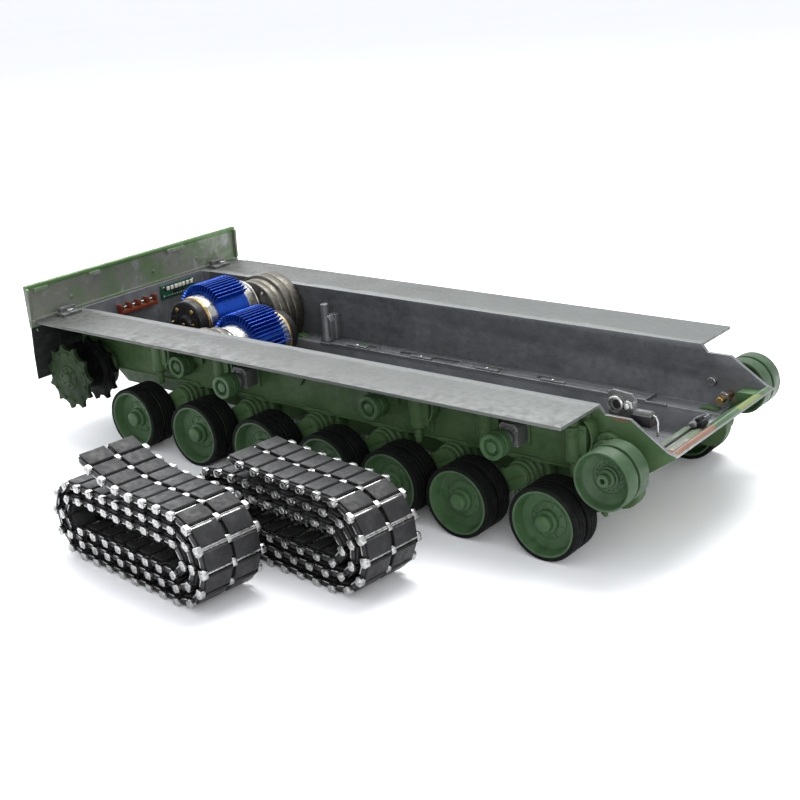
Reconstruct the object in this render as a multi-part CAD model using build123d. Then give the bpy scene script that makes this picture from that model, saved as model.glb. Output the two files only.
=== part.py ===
"""Tracked tank chassis, 1:16: cast hull tub with running gear, drive units and two rolled-up tracks.

Millimetres. +X points to the nose, +Y to the vehicle's left, +Z up, z = 0 is the ground.
All pieces are drawn about the hull's own centre plane (y = 0) and then moved together along Y,
so that the middle of the whole kit's footprint lies on the origin.
"""
from build123d import *
import math
import os

# ---------------------------------------------------------------- driving dimensions
# hull tub, side view
HULL_REAR_X = -241.0
NOSE_TIP_X = 244.5
NOSE_TIP_Z = 61.8
NOSE_LIP_X = 239.0
NOSE_LIP_Z = 63.7
DECK_Z = 83.5
DECK_FRONT_X = 197.5
STEP_X = 201.6
STEP_Z = 78.6
STEP_END_X = 216.7
BELLY_Z = 27.0
BELLY_FRONT_X = 196.0
BELLY_REAR_X = -212.0
CHINE_Z = 43.0
WALL = 2.5
TUB_INNER_Y = 60.1
TUB_OUTER_Y = TUB_INNER_Y + WALL
LOWER_INNER_Y = 46.0
LOWER_OUTER_Y = LOWER_INNER_Y + WALL
SPONSON_OUTER_Y = 101.0
SPONSON_THICK = 2.0

# rear plate, leaning back a little
REAR_PLATE_HALF = 104.5
REAR_PLATE_LOW_Z = 79.0
REAR_PLATE_HIGH_Z = 109.6
REAR_PLATE_LOW_X = -241.2
REAR_PLATE_HIGH_X = -244.5
REAR_PLATE_THICK = 2.4
BRACKET_END_X = -228.5
BRACKET_RECESS = 0.4
FLAP_THICK = 1.2
FLAP_LOW_Z = 40.0

# road wheels and their swing arms, numbered from the rear
WHEEL_X = [-154.8, -93.1, -34.8, 21.4, 73.2, 123.5, 180.8]
WHEEL_R = 21.9
WHEEL_OUTER_Y = 95.6
WHEEL_INNER_Y = 73.2
TYRE_WIDTH = 10.2
TYRE_THICK = 3.0
WHEEL_WEB_Y = 88.2
AXLE_R = 2.0
AXLE_BORE_R = 2.06
ARM_LEAD = 26.4
PIVOT_Z = 34.9
PIVOT_R = 3.0
PIVOT_BORE_R = 3.06
ARM_FACE_Y = 72.2
ARM_BACK_Y = 69.6

# return rollers: (x, outer face |y|)
ROLLER_R = 7.8
ROLLER_Z = 59.0
ROLLER_WIDTH = 11.0
ROLLERS = [(-124.9, 76.0), (-65.1, 92.0), (45.2, 76.0), (146.4, 92.0)]

# idler at the nose, sprocket at the rear
IDLER_X, IDLER_Z, IDLER_R = 217.3, 54.5, 16.75
IDLER_OUTER_Y = 94.7
IDLER_INNER_Y = 73.6
CRANK_X, CRANK_Z = 205.0, 60.5
SPROCKET_X, SPROCKET_Z = -219.0, 42.7
SPROCKET_TIP_R = 24.0
SPROCKET_ROOT_R = 20.6
SPROCKET_TEETH = 11
SPROCKET_OUTER_Y = 95.6
SPROCKET_INNER_Y = 70.0
SPROCKET_BORE_R = 4.06

# bump stops stand over these wheels (index in WHEEL_X)
STOP_WHEELS = [0, 1, 4, 5, 6]
STOP_SHIFT_X = 4.5
STOP_Y = 68.6

# drive motors: (side, x, z); the right-hand motor sits lower and further forward
MOTOR_R = 17.75
MOTOR_LENGTH = 57.0
MOTOR_FACE_Y = 30.0
SINK_SLEEVE_R = 19.5
SINK_FIN_R = 25.0
SINK_LENGTH = 30.0
DRIVES = {"left": (1, -165.0, 71.5), "right": (-1, -122.0, 57.0)}

# rolled-up tracks
LINK_PITCH = 12.6
LINK_LENGTH = 11.3
LINK_WIDTH = 42.0
LINK_THICK = 5.0
LAYER_GAP = 8.0
ROLL_TURNS = 3
ROUTE_STEP = 0.1
ROLLS = {
    "track_right": {"x": 2.0, "y": -215.0, "turned": -6.0, "length": 144.0, "height": 56.0,
                    "free_end": -39.0, "curl": 12.0},
    "track_left": {"x": 63.0, "y": -160.0, "turned": -6.0, "length": 147.0, "height": 57.0,
                   "free_end": -38.0, "curl": 3.0},
}


# ---------------------------------------------------------------- small helpers
def prism_y(points, y_low, y_high):
    """Solid with a side outline in (x, z), between two y values."""
    plane = Plane(origin=(0, y_high, 0), x_dir=(1, 0, 0), z_dir=(0, -1, 0))
    outline = make_face(Polyline(*points, close=True))
    return extrude(plane * outline, amount=y_high - y_low)


def span(side, inner, outer):
    """Low and high y of something between two distances from the centre plane."""
    return (inner, outer) if side > 0 else (-outer, -inner)


def block(x_low, x_high, y_low, y_high, z_low, z_high):
    size = (x_high - x_low, y_high - y_low, z_high - z_low)
    centre = ((x_low + x_high) / 2, (y_low + y_high) / 2, (z_low + z_high) / 2)
    return Pos(*centre) * Box(*size)


def rod_y(x, z, y_low, y_high, radius):
    """Cylinder along Y."""
    middle = Pos(x, (y_low + y_high) / 2, z)
    return middle * Rot(90, 0, 0) * Cylinder(radius, y_high - y_low)


def rod_z(x, y, z_low, z_high, radius):
    return Pos(x, y, (z_low + z_high) / 2) * Cylinder(radius, z_high - z_low)


def turned_y(side, profile, x, z):
    """Solid turned about a Y axis: profile is (radius, |y|) points of a closed outline."""
    points = [(radius, side * y) for radius, y in profile]
    face = make_face(Polyline(*points, close=True))
    return Pos(x, 0, z) * revolve(face, Axis.Y, 360)


def ring_of(count, radius, x, z, phase=0.0):
    """Evenly spaced (x, z) points on a circle."""
    step = 2 * math.pi / count
    return [(x + radius * math.cos(phase + k * step), z + radius * math.sin(phase + k * step))
            for k in range(count)]


def join(first, *others):
    for other in others:
        first = first + other
    return first


# ---------------------------------------------------------------- hull
def upper_outline(inset):
    """Side outline of the wide upper hull, shrunk by the wall when inset is the wall thickness."""
    slope = (NOSE_TIP_Z - BELLY_Z) / (NOSE_TIP_X - BELLY_FRONT_X)
    run = inset * math.hypot(1, slope) / slope
    low = CHINE_Z + inset
    front_low_x = NOSE_TIP_X - (NOSE_TIP_Z - low) / slope - run
    if inset:
        return [(HULL_REAR_X + inset, low), (front_low_x, low),
                (NOSE_TIP_X - run, NOSE_TIP_Z), (NOSE_TIP_X - run, 140), (HULL_REAR_X + inset, 140)]
    return [(HULL_REAR_X, CHINE_Z), (front_low_x, CHINE_Z), (NOSE_TIP_X, NOSE_TIP_Z),
            (NOSE_LIP_X, NOSE_LIP_Z), (STEP_END_X, STEP_Z), (STEP_X, STEP_Z),
            (DECK_FRONT_X, DECK_Z), (HULL_REAR_X, DECK_Z)]


def lower_outline(inset):
    slope = (NOSE_TIP_Z - BELLY_Z) / (NOSE_TIP_X - BELLY_FRONT_X)
    run = inset * math.hypot(1, slope) / slope
    low = BELLY_Z + inset
    high = CHINE_Z + (WALL + 0.5 if inset else 0.5)
    front = [NOSE_TIP_X - (NOSE_TIP_Z - z) / slope - run for z in (low, high)]
    rear_high = HULL_REAR_X + 8.0 + inset
    return [(BELLY_REAR_X + inset, low), (front[0], low), (front[1], high), (rear_high, high)]


def floor_pan():
    """Belly, lower walls, shelves, rear wall and sloping nose plate, up to the side frames."""
    body = prism_y(upper_outline(0), -TUB_INNER_Y, TUB_INNER_Y)
    body += prism_y(lower_outline(0), -LOWER_OUTER_Y, LOWER_OUTER_Y)
    body -= prism_y(upper_outline(WALL), -TUB_INNER_Y - 1, TUB_INNER_Y + 1)
    body -= prism_y(lower_outline(WALL), -LOWER_INNER_Y, LOWER_INNER_Y)
    return [body]


def side_frame(side):
    """Upper side wall with its deck, bored for the sprocket shaft and the idler crank."""
    wall = prism_y(upper_outline(0), *span(side, TUB_INNER_Y, TUB_OUTER_Y))
    deck = block(HULL_REAR_X, DECK_FRONT_X, *span(side, TUB_INNER_Y, SPONSON_OUTER_Y),
                 DECK_Z - SPONSON_THICK, DECK_Z)
    frame = wall + deck
    frame -= block(HULL_REAR_X - 1, BRACKET_END_X, *span(side, TUB_INNER_Y - 1, SPONSON_OUTER_Y + 1),
                   DECK_Z - BRACKET_RECESS, DECK_Z + 1)
    frame -= rod_y(SPROCKET_X, SPROCKET_Z, *span(side, 58.0, 70.0), SPROCKET_BORE_R)
    frame -= rod_y(CRANK_X, CRANK_Z, *span(side, 58.0, 70.0), PIVOT_BORE_R)
    return [frame]


def suspension_housing(side, x):
    """Stepped collars round one swing-arm pivot, from the lower wall outwards."""
    steps = [(LOWER_OUTER_Y, 55.5, 11.0), (55.5, 59.0, 8.0), (59.0, 61.6, 9.4),
             (61.6, 63.4, 8.0), (63.4, 66.0, 9.0), (66.0, 67.6, 7.8), (67.6, 69.2, 8.6)]
    body = None
    for inner, outer, radius in steps:
        step = rod_y(x, PIVOT_Z, *span(side, inner, outer), radius)
        body = step if body is None else body + step
    under_shelf = span(side, LOWER_INNER_Y, TUB_OUTER_Y + 0.05)
    body -= block(x - 15.0, x + 15.0, *under_shelf, CHINE_Z - 0.05, CHINE_Z + 10.0)
    return body - rod_y(x, PIVOT_Z, *span(side, 50.0, 71.0), PIVOT_BORE_R)


def hull_bosses():
    """Castings on the tub: pivot housings, sprocket and crank bosses, and the nose corner gussets."""
    pieces = []
    for side in (-1, 1):
        for x in WHEEL_X:
            pieces.append(suspension_housing(side, x + ARM_LEAD))
        boss = rod_y(SPROCKET_X, SPROCKET_Z, *span(side, TUB_OUTER_Y, 66.0), 13.0)
        pieces.append(boss - rod_y(SPROCKET_X, SPROCKET_Z, *span(side, 58.0, 70.0), SPROCKET_BORE_R))
        boss = rod_y(CRANK_X, CRANK_Z, *span(side, TUB_OUTER_Y, 67.5), 7.0)
        pieces.append(boss - rod_y(CRANK_X, CRANK_Z, *span(side, 58.0, 70.0), PIVOT_BORE_R))
        gusset = [(NOSE_LIP_X - 16.0, 51.5), (NOSE_LIP_X - 15.0, 50.5), (NOSE_LIP_X - 3.8, 58.6),
                  (NOSE_LIP_X - 4.0, 60.4), (NOSE_LIP_X - 16.0, 60.4)]
        pieces.append(prism_y(gusset, *span(side, TUB_INNER_Y - 10.0, TUB_INNER_Y - 0.1)))
    return pieces


def rear_plate():
    thick, low = REAR_PLATE_THICK, REAR_PLATE_LOW_X
    outline = [(low - thick, REAR_PLATE_LOW_Z), (low, REAR_PLATE_LOW_Z), (low, DECK_Z + 0.2),
               (REAR_PLATE_HIGH_X + thick, REAR_PLATE_HIGH_Z), (REAR_PLATE_HIGH_X, REAR_PLATE_HIGH_Z)]
    plate = prism_y(outline, -REAR_PLATE_HALF, REAR_PLATE_HALF)
    return [plate]


def mud_flaps():
    """Two hinged-look panels hanging below the rear plate behind each sprocket."""
    flaps = []
    for side in (-1, 1):
        low, high = span(side, TUB_OUTER_Y + 1.0, 104.0)
        front, back = REAR_PLATE_HIGH_X + FLAP_THICK, REAR_PLATE_HIGH_X
        upper = [(back, 58.0), (front, 58.0), (front + 1.3, REAR_PLATE_LOW_Z),
                 (back + 1.3, REAR_PLATE_LOW_Z)]
        lower = [(back, FLAP_LOW_Z), (front, FLAP_LOW_Z), (front, 58.5), (back, 58.5)]
        flaps.append(prism_y(upper, low, high) + prism_y(lower, low, high))
    return flaps


# ---------------------------------------------------------------- drive units in the tub
def gearbox(side_name):
    """Cast gear case from the sprocket shaft to the motor face, with its round gear drum."""
    side, motor_x, motor_z = DRIVES[side_name]
    inner, outer = MOTOR_FACE_Y, TUB_INNER_Y - 0.4
    rear_disc = rod_y(SPROCKET_X, 60.0, *span(side, inner + 8.0, outer), 13.0)
    if side_name == "left":
        drum_x, drum_z, drum_r = -157.5, 62.5, 29.0
    else:
        drum_x, drum_z, drum_r = -124.0, 62.5, 16.5
    drum = rod_y(drum_x, drum_z, *span(side, 44.0, outer), drum_r)
    drum += rod_y(drum_x, drum_z, *span(side, 33.0, 44.0), drum_r - 2.4)
    plate = [(SPROCKET_X, 47.0), (drum_x, 46.0), (drum_x + 6.0, 74.0), (SPROCKET_X + 4.0, 73.0)]
    case = drum + rear_disc + prism_y(plate, *span(side, inner + 8.0, outer))
    flange = rod_y(motor_x, motor_z, *span(side, inner + 0.2, 34.0), MOTOR_R + 0.5)
    case += flange
    ledge = CHINE_Z + WALL + 0.4
    case -= block(-260.0, -90.0, *span(side, inner - 5.0, outer + 5.0), 0.0, ledge)
    return [case]


def motor(side_name):
    """Motor can with its end bell and two terminals."""
    side, x, z = DRIVES[side_name]
    face, tail = MOTOR_FACE_Y, MOTOR_FACE_Y - MOTOR_LENGTH
    can = rod_y(x, z, *span(side, tail + 9.0, face), MOTOR_R)
    bell = rod_y(x, z, *span(side, tail, tail + 9.0), MOTOR_R - 1.2)
    hub = rod_y(x, z, *span(side, tail - 2.4, tail), 5.0)
    body = can + bell + hub
    for shift in (-10.0, 10.0):
        tag = block(x + shift - 1.4, x + shift + 1.4, *span(side, tail - 4.0, tail + 1.0),
                    z + 1.0, z + 1.8)
        body += tag
    return [body]


def heat_sink(side_name):
    """Split sleeve with fins that run along the motor."""
    side, x, z = DRIVES[side_name]
    middle = MOTOR_FACE_Y - 10.0 - SINK_LENGTH / 2
    low, high = span(side, middle - SINK_LENGTH / 2, middle + SINK_LENGTH / 2)
    sleeve = rod_y(x, z, low, high, SINK_SLEEVE_R) - rod_y(x, z, low - 1, high + 1, MOTOR_R + 0.05)
    mouth = [(x - 30, z - 30), (x + 30, z - 30), (x + 30, z - 9), (x - 30, z - 9)]
    sleeve -= prism_y(mouth, low - 1, high + 1)
    first, last = (20.0, 165.0) if side_name == "left" else (6.0, 146.0)
    count = 21
    for k in range(count):
        angle = math.radians(first + (last - first) * k / (count - 1))
        fin = Box(SINK_FIN_R - SINK_SLEEVE_R + 0.6, high - low, 0.8)
        reach = (SINK_FIN_R + SINK_SLEEVE_R - 0.6) / 2
        place = Pos(x, (low + high) / 2, z) * Rot(0, -math.degrees(angle), 0) * Pos(reach, 0, 0)
        sleeve += place * fin
    return [sleeve]


def circuit_board():
    """Light board on the rear wall, with its row of parts."""
    board = block(-238.4, -236.8, 15.0, 49.5, 70.0, 81.0)
    parts = block(-236.9, -234.6, 18.0, 46.5, 76.6, 80.0) + block(-236.9, -235.4, 19.0, 45.0, 71.4, 73.2)
    return [board + parts]


def terminal_strip():
    strip = block(-238.4, -233.0, -29.0, 7.0, 70.0, 75.2)
    for k in range(4):
        y = -25.0 + 9.3 * k
        strip += rod_z(-235.7, y, 75.0, 77.2, 2.0)
    return [strip]


def torsion_bar_cover():
    """Long ledge plates over the swing-arm shafts, one on each side, with slots."""
    low, high = CHINE_Z + WALL + 0.05, CHINE_Z + WALL + 1.8
    slot_x = [-60.0, -24.0, 0.0, 14.0, 49.0, 92.0]
    plates = []
    for side in (-1, 1):
        plate = block(-92.0, 168.0, *span(side, 44.5, TUB_INNER_Y - 0.4), low, high)
        for x in slot_x:
            plate -= block(x - 7.0, x + 7.0, *span(side, 49.5, 54.5), low - 1, high + 1)
        plates.append(plate)
    return plates


def hull_fasteners():
    """Screw posts, tensioner bolts and the nuts on the rear brackets, one group of separate pieces."""
    pieces = []
    floor = CHINE_Z + WALL + 0.05
    for side in (-1, 1):
        post = rod_z(-100.0, side * 51.0, floor, 74.6, 3.0) - rod_z(-100.0, side * 51.0, 64.0, 76.0, 1.2)
        pieces.append(post)
        pieces.append(block(-100.0, -93.0, *span(side, 55.0, TUB_INNER_Y - 0.3), floor, 66.0))
        tab = block(-237.8, -229.0, *span(side, 72.0, 82.0), DECK_Z - BRACKET_RECESS + 0.05, DECK_Z + 1.7)
        nut = Pos(-232.8, side * 77.0, DECK_Z + 1.7 + 1.3) * extrude(RegularPolygon(3.2, 6), 1.3, both=True)
        pieces.append(tab + nut)
        bolt = rod_y(217.5, 55.0, *span(side, 44.0, TUB_INNER_Y - 0.3), 2.2)
        head = Plane(origin=(217.5, side * 51.0, 55.0), z_dir=(0, side, 0)) * extrude(
            RegularPolygon(4.2, 6), 2.0, both=True)
        pieces.append(bolt + head)
    return pieces


def bump_stops():
    """Cylinder, bracket and rod over the arms at both ends of each side."""
    stops = []
    for side in (-1, 1):
        for index in STOP_WHEELS:
            x = WHEEL_X[index] + STOP_SHIFT_X
            y = side * STOP_Y
            can = rod_z(x, y, 50.0, 70.0, 5.0)
            neck = rod_z(x, y, 70.0, 74.0, 3.6)
            rod = rod_z(x, y, 41.0, 50.0, 2.2)
            back = block(x - 9.0, x + 8.0, *span(side, TUB_OUTER_Y + 0.05, TUB_OUTER_Y + 1.8), 47.0, 73.0)
            cheek = block(x + 6.2, x + 8.0, *span(side, TUB_OUTER_Y + 1.0, STOP_Y + 1.5), 50.0, 71.0)
            shelf = block(x - 2.5, x + 7.0, *span(side, TUB_OUTER_Y + 1.0, STOP_Y), 56.0, 66.0)
            stops.append(join(can, neck, rod, back, cheek, shelf))
    return stops


def roller_brackets():
    brackets = []
    for side in (-1, 1):
        for x, face in ROLLERS:
            inner, outer = TUB_OUTER_Y + 0.05, face - ROLLER_WIDTH - 0.6
            arm = block(x - 6.0, x + 6.0, *span(side, inner, max(outer, inner + 1.6)), 54.0, 67.0)
            pin = rod_y(x, ROLLER_Z, *span(side, inner + 0.5, face - 1.8), AXLE_R)
            brackets.append(arm + pin)
    return brackets


# ---------------------------------------------------------------- moving running gear
def swing_arm(side, x):
    """Trailing arm: pivot shaft, split clamp head, arm and wheel axle."""
    pivot_x = x + ARM_LEAD
    axle = (x, WHEEL_R)
    shaft = rod_y(pivot_x, PIVOT_Z, *span(side, 51.0, ARM_BACK_Y + 0.5), PIVOT_R)
    head = rod_y(pivot_x, PIVOT_Z, *span(side, ARM_BACK_Y, ARM_FACE_Y), 7.4)
    dx, dz = axle[0] - pivot_x, axle[1] - PIVOT_Z
    length = math.hypot(dx, dz)
    nx, nz = -dz / length, dx / length
    half_head, half_tail = 7.3, 4.6
    web = [(pivot_x + nx * half_head, PIVOT_Z + nz * half_head),
           (pivot_x - nx * half_head, PIVOT_Z - nz * half_head),
           (axle[0] - nx * half_tail, axle[1] - nz * half_tail),
           (axle[0] + nx * half_tail, axle[1] + nz * half_tail)]
    arm = prism_y(web, *span(side, ARM_BACK_Y, ARM_FACE_Y))
    eye = rod_y(*axle, *span(side, ARM_BACK_Y, ARM_FACE_Y), 4.8)
    pin = rod_y(*axle, *span(side, ARM_FACE_Y - 0.5, 91.0), AXLE_R)
    slot_half = 0.5
    ux, uz = -dx / length, -dz / length
    slot = [(pivot_x - ux * 5.0 + nx * slot_half, PIVOT_Z - uz * 5.0 + nz * slot_half),
            (pivot_x - ux * 5.0 - nx * slot_half, PIVOT_Z - uz * 5.0 - nz * slot_half),
            (pivot_x + ux * 4.0 - nx * slot_half, PIVOT_Z + uz * 4.0 - nz * slot_half),
            (pivot_x + ux * 4.0 + nx * slot_half, PIVOT_Z + uz * 4.0 + nz * slot_half)]
    cut = prism_y(slot, *span(side, ARM_FACE_Y - 1.4, ARM_FACE_Y + 1.0))
    return [join(shaft, head, arm, eye, pin) - cut]


def road_wheel(side, x):
    """Two dished rims on one hub, and the two rubber tyres on them."""
    rim_r = WHEEL_R - TYRE_THICK
    back, face = WHEEL_INNER_Y, WHEEL_OUTER_Y
    inner_end = back + TYRE_WIDTH
    outer_start = face - TYRE_WIDTH
    web_outer = WHEEL_WEB_Y
    profile = [(AXLE_BORE_R, back + 0.4), (6.0, back + 0.4), (6.0, back + 3.0),
               (rim_r - 2.0, back + 3.0), (rim_r - 1.4, back + 0.2), (rim_r, back + 0.2),
               (rim_r, inner_end), (rim_r - 2.2, inner_end), (rim_r - 2.2, outer_start),
               (rim_r, outer_start), (rim_r, face - 0.2), (rim_r - 1.3, face - 0.2),
               (rim_r - 2.2, web_outer), (11.2, web_outer), (11.0, web_outer + 0.8),
               (6.7, web_outer + 0.8), (6.7, face - 4.6), (5.0, face - 4.2), (5.0, face - 1.2),
               (4.2, face - 0.3), (0.0, face - 0.2), (0.0, 91.4), (AXLE_BORE_R, 91.4)]
    rim = turned_y(side, profile, x, WHEEL_R)
    tyres = []
    for start in (back, outer_start):
        end = start + TYRE_WIDTH
        band = [(rim_r + 0.02, start + 0.2), (WHEEL_R - 0.7, start), (WHEEL_R, start + 0.8),
                (WHEEL_R, end - 0.8), (WHEEL_R - 0.7, end), (rim_r + 0.02, end - 0.2)]
        tyres.append(turned_y(side, band, x, WHEEL_R))
    for px, pz in ring_of(8, 9.0, x, WHEEL_R, math.radians(40)):
        rim += rod_y(px, pz, *span(side, web_outer - 1.5, web_outer + 1.5), 0.9)
    return [rim] + tyres


def return_roller(side, x, face):
    """Solid-rimmed roller with a recessed hub cap."""
    back = face - ROLLER_WIDTH
    profile = [(AXLE_BORE_R, back), (ROLLER_R - 0.8, back), (ROLLER_R, back + 0.8),
               (ROLLER_R, face - 0.7), (ROLLER_R - 0.7, face), (5.2, face), (5.0, face - 2.0),
               (3.2, face - 2.0), (2.9, face - 0.2), (0.0, face - 0.2), (0.0, face - 1.4),
               (AXLE_BORE_R, face - 1.4)]
    return [turned_y(side, profile, x, ROLLER_Z)]


def idler_crank(side):
    """Crank that tightens the track: hull pin, web and idler axle."""
    web_in, web_out = 68.0, 71.4
    hull_pin = rod_y(CRANK_X, CRANK_Z, *span(side, 58.5, web_out), PIVOT_R)
    eye = rod_y(CRANK_X, CRANK_Z, *span(side, web_in, web_out), 6.4)
    axle_eye = rod_y(IDLER_X, IDLER_Z, *span(side, web_in, web_out + 1.2), 5.6)
    dx, dz = IDLER_X - CRANK_X, IDLER_Z - CRANK_Z
    length = math.hypot(dx, dz)
    nx, nz = -dz / length * 5.0, dx / length * 5.0
    web = [(CRANK_X + nx, CRANK_Z + nz), (CRANK_X - nx, CRANK_Z - nz),
           (IDLER_X - nx, IDLER_Z - nz), (IDLER_X + nx, IDLER_Z + nz)]
    plate = prism_y(web, *span(side, web_in, web_out))
    axle = rod_y(IDLER_X, IDLER_Z, *span(side, web_out, IDLER_OUTER_Y - 5.8), 3.0)
    return [join(hull_pin, eye, axle_eye, plate, axle)]


def idler_wheel(side):
    """Twin steel idler disc with a conical dish, a bolt ring and a socketed hub."""
    back, face = IDLER_INNER_Y, IDLER_OUTER_Y
    profile = [(3.06, back), (7.0, back), (8.0, back + 2.4), (IDLER_R - 3.0, back + 1.4),
               (IDLER_R - 2.0, back - 0.2), (IDLER_R, back - 0.2), (IDLER_R, back + 9.2),
               (IDLER_R - 2.6, back + 9.2), (IDLER_R - 2.6, face - 9.6), (IDLER_R, face - 9.6),
               (IDLER_R, face - 0.2), (IDLER_R - 0.5, face), (IDLER_R - 1.5, face),
               (13.4, face - 4.8), (9.3, face - 7.6), (9.3, face - 8.4), (5.2, face - 8.4),
               (5.0, face - 4.6), (3.6, face - 4.4), (3.5, face - 1.2),
               (1.4, face - 1.2), (1.4, face - 3.4), (0.0, face - 3.4), (0.0, face - 5.4),
               (3.06, face - 5.4)]
    wheel = turned_y(side, profile, IDLER_X, IDLER_Z)
    for px, pz in ring_of(16, 7.5, IDLER_X, IDLER_Z):
        wheel -= rod_y(px, pz, *span(side, face - 9.2, face - 7.8), 0.55)
    return [wheel]


def sprocket_ring(side, inner, outer):
    """One toothed ring: a polygon with a tooth and a root per pitch, opened in the middle."""
    points = []
    step = 2 * math.pi / SPROCKET_TEETH
    for k in range(SPROCKET_TEETH):
        base = k * step
        for share, radius in ((0.0, SPROCKET_TIP_R), (0.16, SPROCKET_TIP_R),
                              (0.34, SPROCKET_ROOT_R), (0.82, SPROCKET_ROOT_R)):
            angle = base + share * step
            points.append((SPROCKET_X + radius * math.cos(angle), SPROCKET_Z + radius * math.sin(angle)))
    ring = prism_y(points, *span(side, inner, outer))
    return ring - rod_y(SPROCKET_X, SPROCKET_Z, *span(side, inner - 1, outer + 1), 16.6)


def drive_sprocket(side):
    """Two toothed rings on a drum, with a spoked outer web, bolts and the output shaft."""
    inner, outer = SPROCKET_INNER_Y, SPROCKET_OUTER_Y
    drum = turned_y(side, [(0.0, inner + 0.2), (16.8, inner + 0.2), (16.8, inner + 3.0), (13.2, inner + 5.0),
                           (13.2, outer - 6.0), (16.8, outer - 3.0), (16.8, outer - 1.2),
                           (11.0, outer - 1.6), (9.0, outer + 0.8), (4.4, outer + 1.0),
                           (4.0, outer + 2.4), (0.0, outer + 2.6)], SPROCKET_X, SPROCKET_Z)
    rings = sprocket_ring(side, outer - 3.0, outer) + sprocket_ring(side, inner, inner + 3.0)
    wheel = drum + rings
    for px, pz in ring_of(SPROCKET_TEETH, 18.4, SPROCKET_X, SPROCKET_Z, 0.3):
        wheel += rod_y(px, pz, *span(side, outer - 0.1, outer + 0.9), 1.0)
    for px, pz in ring_of(6, 12.8, SPROCKET_X, SPROCKET_Z):
        wheel -= rod_y(px, pz, *span(side, outer - 5.0, outer + 1.0), 1.9)
    shaft = rod_y(SPROCKET_X, SPROCKET_Z, *span(side, 60.6, inner + 1.0), 4.0)
    return [wheel + shaft]


# ---------------------------------------------------------------- rolled-up tracks
def arc(cx, cz, radius, start, end):
    """Points along an arc, in degrees, about ROUTE_STEP apart."""
    count = max(2, int(abs(math.radians(end - start)) * radius / ROUTE_STEP))
    angles = [math.radians(start + (end - start) * k / count) for k in range(count)]
    return [(cx + radius * math.cos(a), cz + radius * math.sin(a)) for a in angles]


def run(x_start, x_end, z):
    """Points along a level run."""
    count = max(2, int(abs(x_end - x_start) / ROUTE_STEP))
    return [(x_start + (x_end - x_start) * k / count, z) for k in range(count)]


def roll_route(roll):
    """Centre line of a rolled track, from its free end on top inwards.

    Each turn is a run along the top, a half circle at the right, a run along the bottom and a
    slightly smaller half circle at the left, so each turn lies one layer inside the last.
    """
    base = LINK_THICK / 2
    tall = roll["height"] - LINK_THICK
    right = roll["length"] / 2 - base - tall / 2
    left = -roll["length"] / 2 + base + (tall - LAYER_GAP) / 2
    route = []
    for turn in range(ROLL_TURNS):
        top, bottom = base + tall - turn * LAYER_GAP, base + turn * LAYER_GAP
        radius = tall / 2 - turn * LAYER_GAP
        if turn == 0:
            start = roll["free_end"]
            reach = right - start
            for x, z in run(start, right, top):
                lift = roll["curl"] * max(0.0, 1 - (x - start) / (0.62 * reach)) ** 2
                route.append((x, z + lift))
        else:
            route += run(left, right, top)
        route += arc(right, base + tall / 2, radius, 90, -90)
        route += run(right, left, bottom)
        if turn < ROLL_TURNS - 1:
            route += arc(left, base + (tall - LAYER_GAP) / 2, radius - LAYER_GAP / 2, 270, 90)
    return route


def roll_pins(route):
    """Hinge pins along the route, one link pitch apart."""
    pins = [route[0]]
    for point in route:
        if math.dist(point, pins[-1]) >= LINK_PITCH:
            pins.append(point)
    return pins


def link(pin_a, pin_b):
    """One track link between two pins: a bevelled shoe as wide as the track."""
    length = math.dist(pin_a, pin_b)
    ux, uz = (pin_b[0] - pin_a[0]) / length, (pin_b[1] - pin_a[1]) / length
    middle_x, middle_z = (pin_a[0] + pin_b[0]) / 2, (pin_a[1] + pin_b[1]) / 2
    half, thick, bevel = LINK_LENGTH / 2, LINK_THICK / 2, 1.5
    corners = [(-half, -thick + bevel), (-half + bevel, -thick), (half - bevel, -thick),
               (half, -thick + bevel), (half, thick - bevel), (half - bevel, thick),
               (-half + bevel, thick), (-half, thick - bevel)]
    outline = [(middle_x + along * ux - out * uz, middle_z + along * uz + out * ux)
               for along, out in corners]
    return prism_y(outline, -LINK_WIDTH / 2, LINK_WIDTH / 2)


def rolled_track(roll):
    pins = roll_pins(roll_route(roll))
    place = Pos(roll["x"], roll["y"], 0) * Rot(0, 0, roll["turned"])
    return [place * link(a, b) for a, b in zip(pins, pins[1:])]


# ---------------------------------------------------------------- all the nodes
def all_nodes():
    nodes = {
        "hull_floor_pan": floor_pan(),
        "side_frame_right": side_frame(-1),
        "side_frame_left": side_frame(1),
        "hull_bosses": hull_bosses(),
        "rear_plate": rear_plate(),
        "mud_flaps": mud_flaps(),
        "circuit_board": circuit_board(),
        "terminal_strip": terminal_strip(),
        "torsion_bar_cover": torsion_bar_cover(),
        "hull_fasteners": hull_fasteners(),
        "bump_stops": bump_stops(),
        "roller_brackets": roller_brackets(),
    }
    nodes["motors"] = motor("right") + motor("left")
    nodes["heat_sinks"] = heat_sink("right") + heat_sink("left")
    for side_name in DRIVES:
        nodes[f"gearbox_{side_name}"] = gearbox(side_name)
    for side_name, side in (("right", -1), ("left", 1)):
        for number, x in enumerate(WHEEL_X, 1):
            nodes[f"swing_arm_{side_name}_{number}"] = swing_arm(side, x)
            nodes[f"road_wheel_{side_name}_{number}"] = road_wheel(side, x)
        for number, (x, face) in enumerate(ROLLERS, 1):
            nodes[f"return_roller_{side_name}_{number}"] = return_roller(side, x, face)
        nodes[f"idler_crank_{side_name}"] = idler_crank(side)
        nodes[f"idler_wheel_{side_name}"] = idler_wheel(side)
        nodes[f"drive_sprocket_{side_name}"] = drive_sprocket(side)
    for name, roll in ROLLS.items():
        nodes[name] = rolled_track(roll)
    return nodes


def solids_of(pieces):
    return [solid for piece in pieces for solid in piece.solids()]


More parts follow.
